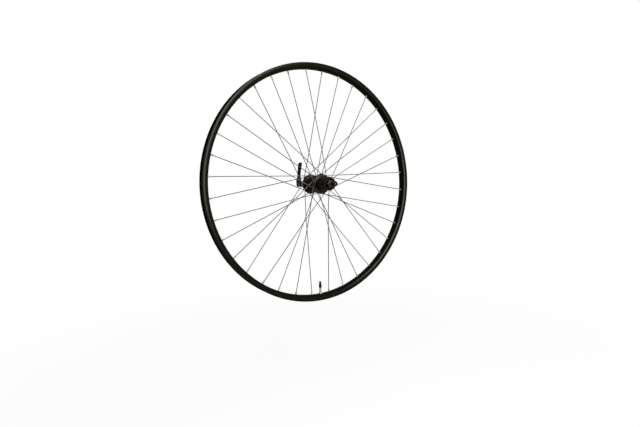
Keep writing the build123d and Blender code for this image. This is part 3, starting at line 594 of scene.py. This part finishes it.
def turned_mesh(name, profile, upright, segments, material):
    """Turn a closed profile of (radius, place) points about Y, or about Z if it stands upright."""
    mesh = bpy.data.meshes.new(name)
    work = bmesh.new()
    rings = []
    for step in range(segments):
        turn = math.tau * step / segments
        ring = []
        for radius, place in profile:
            first, second = radius * math.cos(turn), radius * math.sin(turn)
            ring.append(work.verts.new((first, second, place) if upright else (first, place, second)))
        rings.append(ring)
    for step, ring in enumerate(rings):
        following = rings[(step + 1) % segments]
        for row in range(len(profile)):
            after = (row + 1) % len(profile)
            work.faces.new((ring[row], ring[after], following[after], following[row]))
    bmesh.ops.recalc_face_normals(work, faces=work.faces)
    work.to_mesh(mesh)
    work.free()
    mesh.shade_smooth()
    mesh.set_sharp_from_angle(angle=SMOOTH_LIMIT)
    mesh.materials.append(material)
    return mesh


def thread_rows(start, end, radius, pitch, depth):
    """Crest and root points of a thread along a run, from start to end."""
    count = max(1, round(abs(end - start) / pitch))
    step = (end - start) / count
    rows = []
    for turn in range(count):
        foot = start + turn * step
        rows += [
            (radius - depth, foot),
            (radius, foot + 0.35 * step),
            (radius, foot + 0.55 * step),
            (radius - depth, foot + 0.9 * step),
        ]
    return rows


def new_tree(name, *inputs):
    """A geometry node tree with named inputs, and its two ends."""
    tree = bpy.data.node_groups.new(name, "GeometryNodeTree")
    tree.interface.new_socket("Geometry", in_out="INPUT", socket_type="NodeSocketGeometry")
    for label, kind in inputs:
        tree.interface.new_socket(label, in_out="INPUT", socket_type=f"NodeSocket{kind}")
    tree.interface.new_socket("Geometry", in_out="OUTPUT", socket_type="NodeSocketGeometry")
    return tree, tree.nodes.new("NodeGroupInput"), tree.nodes.new("NodeGroupOutput")


def grow(name, source, tree, values):
    """Run a node tree on a mesh and return the result as a plain mesh."""
    holder = bpy.data.objects.new(name, source)
    bpy.context.scene.collection.objects.link(holder)
    modifier = holder.modifiers.new("grow", "NODES")
    modifier.node_group = tree
    for item in tree.interface.items_tree:
        if item.in_out == "INPUT" and item.name in values:
            modifier[item.identifier] = values[item.name]
    graph = bpy.context.evaluated_depsgraph_get()
    mesh = bpy.data.meshes.new_from_object(holder.evaluated_get(graph), depsgraph=graph)
    mesh.name = name
    holder.modifiers.remove(modifier)
    bpy.data.objects.remove(holder)
    if not mesh.polygons:
        raise RuntimeError(f"{name} came out empty")
    return mesh


def copies_around(tree, instance, count):
    """Instances of a geometry, turned about the axle in even steps."""
    points = add(tree, "GeometryNodePoints", {"Count": count})
    index = add(tree, "GeometryNodeInputIndex").outputs[0]
    step = math_node(tree, "DIVIDE", math.tau, count)
    turn = add(tree, "ShaderNodeCombineXYZ", {1: math_node(tree, "MULTIPLY", index, step)})
    rotation = add(tree, "FunctionNodeEulerToRotation", {0: turn.outputs[0]})
    spread = add(
        tree, "GeometryNodeInstanceOnPoints",
        {"Points": points.outputs[0], "Instance": instance, "Rotation": rotation.outputs[0]},
    )
    return add(tree, "GeometryNodeRealizeInstances", {0: spread.outputs[0]}).outputs[0]


def spoke_route(lacing, flange, side, rim_angle, lean, face):
    """Head, elbow, crossing and rim end of one spoke, and its way through the rim."""
    step = math.tau / lacing.spoke_count
    crossing_angle = lacing.crossings * 2 * step

    def on_wheel(radius, angle, across):
        return Vector((radius * math.cos(angle), across, radius * math.sin(angle)))

    hub_angle = rim_angle + lean * crossing_angle
    hub_sine = lacing.hole_circle * math.sin(crossing_angle - step)
    hub_cosine = lacing.hole_circle * math.cos(crossing_angle - step)
    rim_sine = lacing.bed_radius * math.sin(step)
    rim_cosine = lacing.bed_radius * math.cos(step)
    share = hub_sine / (hub_sine + rim_sine)
    cross_radius = hub_cosine + share * (rim_cosine - hub_cosine)
    rim_across = side * lacing.hole_stagger
    lace = lacing.spoke_diameter / 2 + lacing.lace_gap
    cross_across = flange + share * (rim_across - flange) - side * face * lace
    outward = side * face
    head = on_wheel(lacing.hole_circle, hub_angle, flange - outward * lacing.flange_thickness / 2)
    reach = lacing.flange_thickness / 2 + lacing.elbow_reach
    corner = on_wheel(lacing.hole_circle, hub_angle, flange + outward * reach)
    crossing = on_wheel(cross_radius, rim_angle + lean * step, cross_across)
    seat = on_wheel(lacing.bed_radius, rim_angle, rim_across)
    return head, corner, crossing, seat, (seat - crossing).normalized()


def spoke_routes(lacing):
    """The first spoke of each of the four groups."""
    step = math.tau / lacing.spoke_count
    groups = (
        (lacing.left_flange, 1, 1, 1),
        (lacing.drive_flange, -1, -1, -1),
        (lacing.left_flange, 1, -1, -1),
        (lacing.drive_flange, -1, 1, 1),
    )
    return [
        spoke_route(lacing, flange, side, (place + 0.5) * step, lean, face)
        for place, (flange, side, lean, face) in enumerate(groups)
    ]


class WHEEL_OT_dress_rim(Operator):
    """Anodise the rim and lay its tape"""

    bl_idname = "wheel.dress_rim"
    bl_label = "Dress the rim"

    def execute(self, context):
        colours = context.scene.wheel_finishes
        sides = context.scene.wheel_rim
        rim = eased_copy("rim", "rim_dressed", rim_finish(colours.rim_black, sides)).data
        dull = turned_finish(
            "rim_bed_drawn", colours.rim_black,
            metallic=0.0, roughness=0.4, pitch=0.0008, depth=0.000003, gloss=0.01,
        )
        rim.materials.append(dull)
        for face in rim.polygons:
            outwards = Vector((face.center.x, 0.0, face.center.z))
            on_bed = outwards.length < sides.bed_edge and face.normal.dot(outwards) < 0.0
            on_lip = outwards.length > sides.crown_lip and face.normal.dot(outwards) > 0.0
            if on_bed or on_lip:
                face.material_index = 1
        wear("rim_tape", moulded_finish("rim_tape_film", colours.tape_grey, roughness=0.35, grain=300.0))
        return {"FINISHED"}


class WHEEL_OT_lace_spokes(Operator):
    """Lace the spokes from flange to rim"""

    bl_idname = "wheel.lace_spokes"
    bl_label = "Lace the spokes"

    def execute(self, context):
        lacing = context.scene.wheel_lacing
        wire = lacing.spoke_diameter / 2
        bulge = lacing.head_diameter / 2
        head_profile = (
            (1.0, 0.25 * bulge),
            (0.94, 0.55 * bulge),
            (0.7, 0.86 * bulge),
            (0.35, bulge),
            (0.02, bulge),
            (0.0, wire),
        )
        source = bpy.data.meshes.new("spoke_lines")
        points, edges, thickness = [], [], []
        for head, corner, crossing, seat, rim_way in spoke_routes(lacing):
            stub = (corner - head).normalized()
            start = len(points)
            for share, radius in head_profile:
                points.append(head - stub * lacing.head_height * share)
                thickness.append(radius)
            for point in (corner, crossing, seat + rim_way * (lacing.bed_wall + wire)):
                points.append(point)
                thickness.append(wire)
            edges += [(place, place + 1) for place in range(start, len(points) - 1)]
        source.from_pydata(points, edges, [])
        layer = source.attributes.new("thickness", "FLOAT", "POINT")
        layer.data.foreach_set("value", thickness)

        tree, start, end = new_tree(
            "laced_spokes", ("Copies", "Int"), ("Bend", "Float"), ("Sides", "Int"), ("Finish", "Material")
        )
        line = add(tree, "GeometryNodeMeshToCurve", {"Mesh": start.outputs["Geometry"]})
        bent = add(
            tree, "GeometryNodeFilletCurve",
            {"Curve": line.outputs[0], "Count": 8, "Radius": start.outputs["Bend"], "Limit Radius": True},
            mode="POLY",
        )
        width = add(tree, "GeometryNodeInputNamedAttribute", {"Name": "thickness"}, data_type="FLOAT")
        circle = add(
            tree, "GeometryNodeCurvePrimitiveCircle", {"Resolution": start.outputs["Sides"], "Radius": 1.0}
        )
        swept = add(
            tree, "GeometryNodeCurveToMesh",
            {
                "Curve": bent.outputs[0], "Profile Curve": circle.outputs[0], "Fill Caps": True,
                "Scale": width.outputs["Attribute"],
            },
        )
        smooth = add(tree, "GeometryNodeSetShadeSmooth", {0: swept.outputs[0]})
        all_round = copies_around(tree, smooth.outputs[0], start.outputs["Copies"])
        finished = add(
            tree, "GeometryNodeSetMaterial", {"Geometry": all_round, "Material": start.outputs["Finish"]}
        )
        tree.links.new(finished.outputs[0], end.inputs[0])
        mesh = grow(
            "spokes_laced", source, tree,
            {
                "Copies": lacing.spoke_count // 4,
                "Bend": lacing.bend_radius,
                "Sides": lacing.wire_sides,
                "Finish": wire_finish(context.scene.wheel_finishes.wire_grey),
            },
        )
        place_piece(
            "spokes_laced", mesh, "wheel", "spoke_steel",
            "spokes_left_outer", "spokes_drive_inner", "spokes_left_inner", "spokes_drive_outer",
        )
        return {"FINISHED"}


def nipple_mesh(sizes):
    """One nipple along Z: domed head up, round neck, key flats and a bored end down."""
    shank = sizes.length - sizes.head_height
    rows = (
        (sizes.head_height, 0.35 * sizes.head_radius, 0.0),
        (sizes.head_height, 0.5 * sizes.head_radius, 0.0),
        (0.9 * sizes.head_height, 0.8 * sizes.head_radius, 0.0),
        (0.6 * sizes.head_height, 0.97 * sizes.head_radius, 0.0),
        (0.15 * sizes.head_height, sizes.head_radius, 0.0),
        (0.0, 0.95 * sizes.head_radius, 0.0),
        (-sizes.neck_blend, sizes.neck_radius, 0.0),
        (-0.40 * shank, sizes.neck_radius, 0.0),
        (-0.46 * shank, sizes.half_flats, 1.0),
        (-0.93 * shank, sizes.half_flats, 1.0),
        (-shank, 0.82 * sizes.half_flats, 0.6),
        (-shank, sizes.bore_radius, 0.0),
        (-0.8 * shank, sizes.bore_radius, 0.0),
    )
    sides = 16
    mesh = bpy.data.meshes.new("nipple_shape")
    work = bmesh.new()
    rings = []
    for height, half, squareness in rows:
        ring = []
        for side in range(sides):
            turn = math.tau * (side + 0.5) / sides
            flat = min(1.0 / max(abs(math.cos(turn)), abs(math.sin(turn))), sizes.corner_reach)
            reach = half * (1.0 + squareness * (flat - 1.0))
            ring.append(work.verts.new((reach * math.cos(turn), reach * math.sin(turn), height)))
        rings.append(ring)
    for upper, lower in zip(rings, rings[1:]):
        for side in range(sides):
            after = (side + 1) % sides
            work.faces.new((upper[side], lower[side], lower[after], upper[after]))
    work.faces.new(rings[0])
    work.faces.new(rings[-1])
    bmesh.ops.recalc_face_normals(work, faces=work.faces)
    work.to_mesh(mesh)
    work.free()
    mesh.shade_smooth()
    mesh.set_sharp_from_angle(angle=NIPPLE_SMOOTH_LIMIT)
    return mesh


class WHEEL_OT_seat_nipples(Operator):
    """Seat a nipple on the end of every spoke"""

    bl_idname = "wheel.seat_nipples"
    bl_label = "Seat the nipples"

    def execute(self, context):
        lacing = context.scene.wheel_lacing
        sizes = context.scene.wheel_nipples
        shape = bpy.data.objects.new("nipple_shape", nipple_mesh(sizes))
        source = bpy.data.meshes.new("nipple_seats")
        seats, ways = [], []
        for *_, seat, rim_way in spoke_routes(lacing):
            seats.append(seat + rim_way * (lacing.bed_wall + sizes.seat_lift))
            ways.extend(rim_way)
        source.from_pydata(seats, [], [])
        layer = source.attributes.new("way", "FLOAT_VECTOR", "POINT")
        layer.data.foreach_set("vector", ways)

        tree, start, end = new_tree(
            "seated_nipples", ("Copies", "Int"), ("Shape", "Object"), ("Finish", "Material")
        )
        way = add(tree, "GeometryNodeInputNamedAttribute", {"Name": "way"}, data_type="FLOAT_VECTOR")
        turn = add(
            tree, "FunctionNodeAlignRotationToVector", {"Vector": way.outputs["Attribute"]}, axis="Z"
        )
        nipple = add(tree, "GeometryNodeObjectInfo", {"Object": start.outputs["Shape"]})
        dots = add(tree, "GeometryNodeMeshToPoints", {"Mesh": start.outputs["Geometry"]})
        seated = add(
            tree, "GeometryNodeInstanceOnPoints",
            {"Points": dots.outputs[0], "Instance": nipple.outputs["Geometry"], "Rotation": turn.outputs[0]},
        )
        all_round = copies_around(tree, seated.outputs[0], start.outputs["Copies"])
        finished = add(
            tree, "GeometryNodeSetMaterial", {"Geometry": all_round, "Material": start.outputs["Finish"]}
        )
        tree.links.new(finished.outputs[0], end.inputs[0])
        colours = context.scene.wheel_finishes
        brass = brass_finish("nipple_brass_dull", colours.nipple_brass, roughness=0.36)
        mesh = grow(
            "nipples_seated", source, tree,
            {
                "Copies": lacing.spoke_count // 4,
                "Shape": shape,
                "Finish": brass,
            },
        )
        bpy.data.objects.remove(shape)
        place_piece("nipples_seated", mesh, "wheel", "nipple_brass", "nipples")
        return {"FINISHED"}


class WHEEL_OT_dress_hub(Operator):
    """Finish the hub shell, its bearings and the axle's nuts"""

    bl_idname = "wheel.dress_hub"
    bl_label = "Dress the hub"

    def execute(self, context):
        colours = context.scene.wheel_finishes
        shell = turned_finish(
            "hub_black_anodised", colours.hub_black,
            metallic=0.0, roughness=0.24, pitch=0.0005, depth=0.000003, gloss=0.11,
        )
        steel = turned_finish(
            "axle_steel_plated", colours.axle_steel,
            metallic=0.9, roughness=0.36, pitch=0.0004, depth=0.000006,
        )
        bright = turned_finish(
            "steel_ground", colours.bright_steel,
            metallic=1.0, roughness=0.28, pitch=0.0003, depth=0.000003,
        )
        spacer = turned_finish(
            "spacer_turned", colours.spacer_grey,
            metallic=1.0, roughness=0.34, pitch=0.0004, depth=0.000006,
        )
        plastic = moulded_finish("dust_cap_moulded", colours.plastic_black, roughness=0.45, grain=1800.0)
        sealed = sealed_bearing_finish(colours.bright_steel, colours.rubber_black)
        eased_copy("hub_shell", "hub_shell_turned", shell, ease=0.00022)
        for node in ("left_cone_nut", "drive_cone_nut", "lock_washer", "left_spacer", "lock_nuts"):
            eased_copy(node, f"{node}_eased", steel, ease=0.00025)
        for node in ("left_dust_cap", "drive_dust_cap"):
            eased_copy(node, f"{node}_eased", plastic, ease=0.0002)
        for node in ("hub_bearing_inner_rings", "freehub_bearing_inner_rings", "ratchet_ring"):
            wear(node, bright)
        for node in ("pawl_a", "pawl_b", "pawl_c"):
            wear(node, bright)
        for node in ("hub_bearing_outer_rings", "freehub_bearing_outer_rings"):
            wear(node, sealed)
        for node in ("hub_spacer", "freehub_spacers", "freehub_sleeve"):
            wear(node, spacer)

        threads = context.scene.wheel_threads
        low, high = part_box("axle")
        radius = high.x
        root = radius - threads.axle_depth
        run = threads.axle_run
        pitch = threads.axle_pitch
        lead = 0.4 * pitch
        profile = [(threads.axle_bore, low.y), (root, low.y)]
        profile += thread_rows(low.y + lead, low.y + run, radius, pitch, threads.axle_depth)
        profile += [(radius, low.y + run + pitch), (radius, high.y - run - pitch)]
        profile += thread_rows(high.y - run, high.y - lead, radius, pitch, threads.axle_depth)
        profile += [(root, high.y), (threads.axle_bore, high.y)]
        mesh = turned_mesh("axle_threaded", profile, upright=False, segments=40, material=steel)
        place_piece("axle_threaded", mesh, "axle", "axle_steel", "axle")
        return {"FINISHED"}


class WHEEL_OT_dress_freehub(Operator):
    """Finish the splined freehub body and its seal"""

    bl_idname = "wheel.dress_freehub"
    bl_label = "Dress the freehub"

    def execute(self, context):
        colours = context.scene.wheel_finishes
        steel = phosphated_finish(colours.freehub_dark)
        eased_copy("freehub_body", "freehub_splined", steel, ease=0.00025)
        rubber = moulded_finish("freehub_seal_rubber", colours.rubber_black, roughness=0.55, grain=1500.0)
        wear("freehub_seal", rubber)
        return {"FINISHED"}


class WHEEL_OT_dress_release(Operator):
    """Finish the quick release: lever, cup, pad, pin, rod and nut"""

    bl_idname = "wheel.dress_release"
    bl_label = "Dress the quick release"

    def execute(self, context):
        colours = context.scene.wheel_finishes
        black = turned_finish(
            "release_black_anodised", colours.release_black,
            metallic=0.0, roughness=0.3, pitch=0.0007, depth=0.000004, gloss=0.05,
        )
        plated = turned_finish(
            "skewer_dark_plated", colours.axle_steel,
            metallic=1.0, roughness=0.34, pitch=0.0004, depth=0.000004,
        )
        eased_copy("qr_lever", "release_lever", black, ease=0.0005)
        eased_copy("qr_cup", "release_cup", black, ease=0.0003)
        eased_copy("qr_nut", "release_nut", black, ease=0.0004)
        pad = moulded_finish("cam_pad_moulded", colours.plastic_black, roughness=0.4, grain=1500.0)
        wear("qr_cam_pad", pad)
        wear("qr_cross_pin", plated)
        wear("skewer_rod", plated)
        return {"FINISHED"}


class WHEEL_OT_coil_springs(Operator):
    """Coil the conical spring at each end of the axle"""

    bl_idname = "wheel.coil_springs"
    bl_label = "Coil the springs"

    def execute(self, context):
        threads = context.scene.wheel_threads
        outer_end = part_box("skewer_springs")[1].y
        axle_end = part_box("axle")[1].y
        wire = threads.spring_wire / 2
        start_at = axle_end + wire + threads.spring_gap
        height = outer_end - start_at - wire
        lengths = ("Turns", "Small", "Large", "Height", "Wire", "Start")
        tree, start, end = new_tree(
            "conical_springs", *((label, "Float") for label in lengths), ("Finish", "Material")
        )
        coil = add(
            tree, "GeometryNodeCurveSpiral",
            {
                "Resolution": 40, "Rotations": start.outputs["Turns"], "Start Radius": start.outputs["Small"],
                "End Radius": start.outputs["Large"], "Height": start.outputs["Height"],
            },
        )
        circle = add(
            tree, "GeometryNodeCurvePrimitiveCircle", {"Resolution": 10, "Radius": start.outputs["Wire"]}
        )
        swept = add(
            tree, "GeometryNodeCurveToMesh",
            {"Curve": coil.outputs[0], "Profile Curve": circle.outputs[0], "Fill Caps": True},
        )
        smooth = add(tree, "GeometryNodeSetShadeSmooth", {0: swept.outputs[0]})
        lift = add(tree, "ShaderNodeCombineXYZ", {2: start.outputs["Start"]})
        raised = add(
            tree, "GeometryNodeTransform", {"Geometry": smooth.outputs[0], "Translation": lift.outputs[0]}
        )
        ends = []
        for turn in (-math.pi / 2, math.pi / 2):
            laid = add(
                tree, "GeometryNodeTransform", {"Geometry": raised.outputs[0], "Rotation": (turn, 0.0, 0.0)}
            )
            ends.append(laid.outputs[0])
        both = add(tree, "GeometryNodeJoinGeometry")
        for part in ends:
            tree.links.new(part, both.inputs[0])
        whole = add(tree, "GeometryNodeRealizeInstances", {0: both.outputs[0]})
        finished = add(
            tree, "GeometryNodeSetMaterial",
            {"Geometry": whole.outputs[0], "Material": start.outputs["Finish"]},
        )
        tree.links.new(finished.outputs[0], end.inputs[0])
        steel = turned_finish(
            "spring_steel_plated", context.scene.wheel_finishes.bright_steel,
            metallic=1.0, roughness=0.3, pitch=0.0004, depth=0.000002,
        )
        mesh = grow(
            "skewer_springs_coiled", bpy.data.meshes.new("spring_seat"), tree,
            {
                "Turns": threads.spring_turns, "Small": threads.spring_small, "Large": threads.spring_large,
                "Height": height, "Wire": wire, "Start": start_at, "Finish": steel,
            },
        )
        place_piece("skewer_springs_coiled", mesh, "axle", "skewer_steel", "skewer_springs")
        return {"FINISHED"}


class WHEEL_OT_dress_valve(Operator):
    """Thread the valve stem and finish its nut, core and cap"""

    bl_idname = "wheel.dress_valve"
    bl_label = "Dress the valve"

    def execute(self, context):
        colours = context.scene.wheel_finishes
        threads = context.scene.wheel_threads
        brass = brass_finish("valve_brass_bare", colours.valve_brass, roughness=0.34)
        low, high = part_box("valve_stem")
        nut_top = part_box("valve_lock_nut")[1].z
        flange = high.x
        flange_top = low.z + threads.valve_flange
        radius, bore = threads.valve_radius, threads.valve_bore
        thread_end = high.z - threads.valve_end
        profile = [(bore, low.z), (flange, low.z), (flange, flange_top), (radius, flange_top)]
        profile += [(radius, nut_top - threads.valve_lead)]
        profile += thread_rows(nut_top, thread_end, radius, threads.valve_pitch, threads.valve_depth)
        profile += [(radius - threads.valve_depth, high.z), (bore, high.z)]
        mesh = turned_mesh("valve_stem_threaded", profile, upright=True, segments=32, material=brass)
        place_piece("valve_stem_threaded", mesh, "wheel", "valve_brass", "valve_stem")
        wear("valve_core", brass)
        wear("valve_pin", brass)
        nickel = brass_finish("valve_nickel", colours.nickel, roughness=0.24)
        eased_copy("valve_lock_nut", "valve_nut_knurled", nickel, ease=0.0002)
        plastic = moulded_finish("valve_cap_black", colours.plastic_black, roughness=0.4, grain=1600.0)
        eased_copy("valve_cap", "valve_cap_moulded", plastic, ease=0.0003)
        rubber = moulded_finish("valve_foot_rubber", colours.rubber_black, roughness=0.6, grain=1200.0)
        wear("valve_foot", rubber)
        return {"FINISHED"}


def seen_directly(tree):
    """1 for rays from the camera, in a reflection or through a piece, 0 for rays that only light."""
    path = add(tree, "ShaderNodeLightPath").outputs
    seen = math_node(tree, "MAXIMUM", path["Is Camera Ray"], path["Is Glossy Ray"])
    return math_node(tree, "MAXIMUM", seen, path["Is Transmission Ray"])


class WHEEL_OT_set_studio(Operator):
    """Set the camera, the pale floor and the soft lights"""

    bl_idname = "wheel.set_studio"
    bl_label = "Set the studio"

    def execute(self, context):
        studio = context.scene.wheel_studio
        scene = context.scene
        scene.view_settings.view_transform = "Standard"

        view = bpy.data.cameras.new("camera")
        view.sensor_width = 36.0
        view.sensor_fit = "HORIZONTAL"
        view.lens = studio.lens
        view.clip_start = 0.01
        camera = bpy.data.objects.new("camera", view)
        camera.location = studio.camera_place
        camera.rotation_euler = studio.camera_turn
        scene.collection.objects.link(camera)
        scene.camera = camera

        sky = bpy.data.worlds.new("studio_sky")
        sky.use_nodes = True
        tree = sky.node_tree
        seen = seen_directly(tree)
        strength = add(tree, "ShaderNodeMapRange", {"Value": seen, 3: studio.sky, 4: 1.0})
        backdrop = tree.nodes["Background"]
        backdrop.inputs["Color"].default_value = WHITE
        tree.links.new(strength.outputs[0], backdrop.inputs["Strength"])
        scene.world = sky

        floor_mesh = bpy.data.meshes.new("floor")
        half = 30.0
        height = studio.floor_height
        floor_mesh.from_pydata(
            [(-half, -half, height), (half, -half, height), (half, half, height), (-half, half, height)],
            [], [(0, 1, 2, 3)],
        )
        paper = bpy.data.materials.new("floor_white_paper")
        paper.use_nodes = True
        tree = paper.node_tree
        shader = tree.nodes["Principled BSDF"]
        shader.inputs["Base Color"].default_value = (*studio.paper, 1.0)
        shader.inputs["Roughness"].default_value = 0.9
        seen = seen_directly(tree)
        white = add(tree, "ShaderNodeEmission", {"Color": WHITE, "Strength": 1.0})
        place = add(tree, "ShaderNodeTexCoord").outputs["Object"]
        away = add(tree, "ShaderNodeVectorMath", {0: place}, operation="LENGTH").outputs["Value"]
        near, far, near_white = 0.65, 1.6, 0.9
        fade = add(tree, "ShaderNodeMapRange", {"Value": away, 1: near, 2: far, 3: near_white, 4: 1.0})
        whiteness = math_node(tree, "MULTIPLY", seen, fade.outputs[0])
        mixed = add(
            tree, "ShaderNodeMixShader", {0: whiteness, 1: shader.outputs[0], 2: white.outputs[0]}
        )
        tree.links.new(mixed.outputs[0], tree.nodes["Material Output"].inputs[0])
        floor_mesh.materials.append(paper)
        floor = bpy.data.objects.new("floor", floor_mesh)
        scene.collection.objects.link(floor)

        lights = (
            ("front_softbox", studio.key_place, studio.key_size, studio.key_power),
            ("side_softbox", studio.side_place, studio.side_size, studio.side_power),
        )
        for name, place, (width, height), power in lights:
            lamp = bpy.data.lights.new(name, "AREA")
            lamp.shape = "RECTANGLE"
            lamp.size = width
            lamp.size_y = height
            lamp.energy = power
            light = bpy.data.objects.new(name, lamp)
            light.location = place
            light.rotation_euler = (-Vector(place)).to_track_quat("-Z", "Y").to_euler()
            scene.collection.objects.link(light)
        return {"FINISHED"}


class WHEEL_PT_build(Panel):
    """The steps that dress the wheel"""

    bl_idname = "WHEEL_PT_build"
    bl_label = "Laced Rear Wheel"
    bl_space_type = "VIEW_3D"
    bl_region_type = "UI"
    bl_category = "Wheel"

    def draw(self, context):
        for step in STEPS:
            self.layout.operator(step.bl_idname)


STEPS = (
    WHEEL_OT_dress_rim,
    WHEEL_OT_lace_spokes,
    WHEEL_OT_seat_nipples,
    WHEEL_OT_dress_hub,
    WHEEL_OT_dress_freehub,
    WHEEL_OT_dress_release,
    WHEEL_OT_coil_springs,
    WHEEL_OT_dress_valve,
    WHEEL_OT_set_studio,
)
SETTINGS = {
    "wheel_rim": RimSides,
    "wheel_lacing": LacingSizes,
    "wheel_nipples": NippleSizes,
    "wheel_threads": ThreadSizes,
    "wheel_finishes": WheelFinishes,
    "wheel_studio": StudioSettings,
}


def register():
    """Add the settings, the steps and the panel."""
    for group in SETTINGS.values():
        bpy.utils.register_class(group)
    for name, group in SETTINGS.items():
        setattr(bpy.types.Scene, name, PointerProperty(type=group))
    for step in STEPS:
        bpy.utils.register_class(step)
    bpy.utils.register_class(WHEEL_PT_build)


def unregister():
    """Take the panel, the steps and the settings away."""
    bpy.utils.unregister_class(WHEEL_PT_build)
    for step in reversed(STEPS):
        bpy.utils.unregister_class(step)
    for name, group in SETTINGS.items():
        delattr(bpy.types.Scene, name)
        bpy.utils.unregister_class(group)


def main():
    """Dress the wheel step by step."""
    register()
    bpy.ops.wheel.dress_rim()
    bpy.ops.wheel.lace_spokes()
    bpy.ops.wheel.seat_nipples()
    bpy.ops.wheel.dress_hub()
    bpy.ops.wheel.dress_freehub()
    bpy.ops.wheel.dress_release()
    bpy.ops.wheel.coil_springs()
    bpy.ops.wheel.dress_valve()
    bpy.ops.wheel.set_studio()


if __name__ == "__main__":
    main()
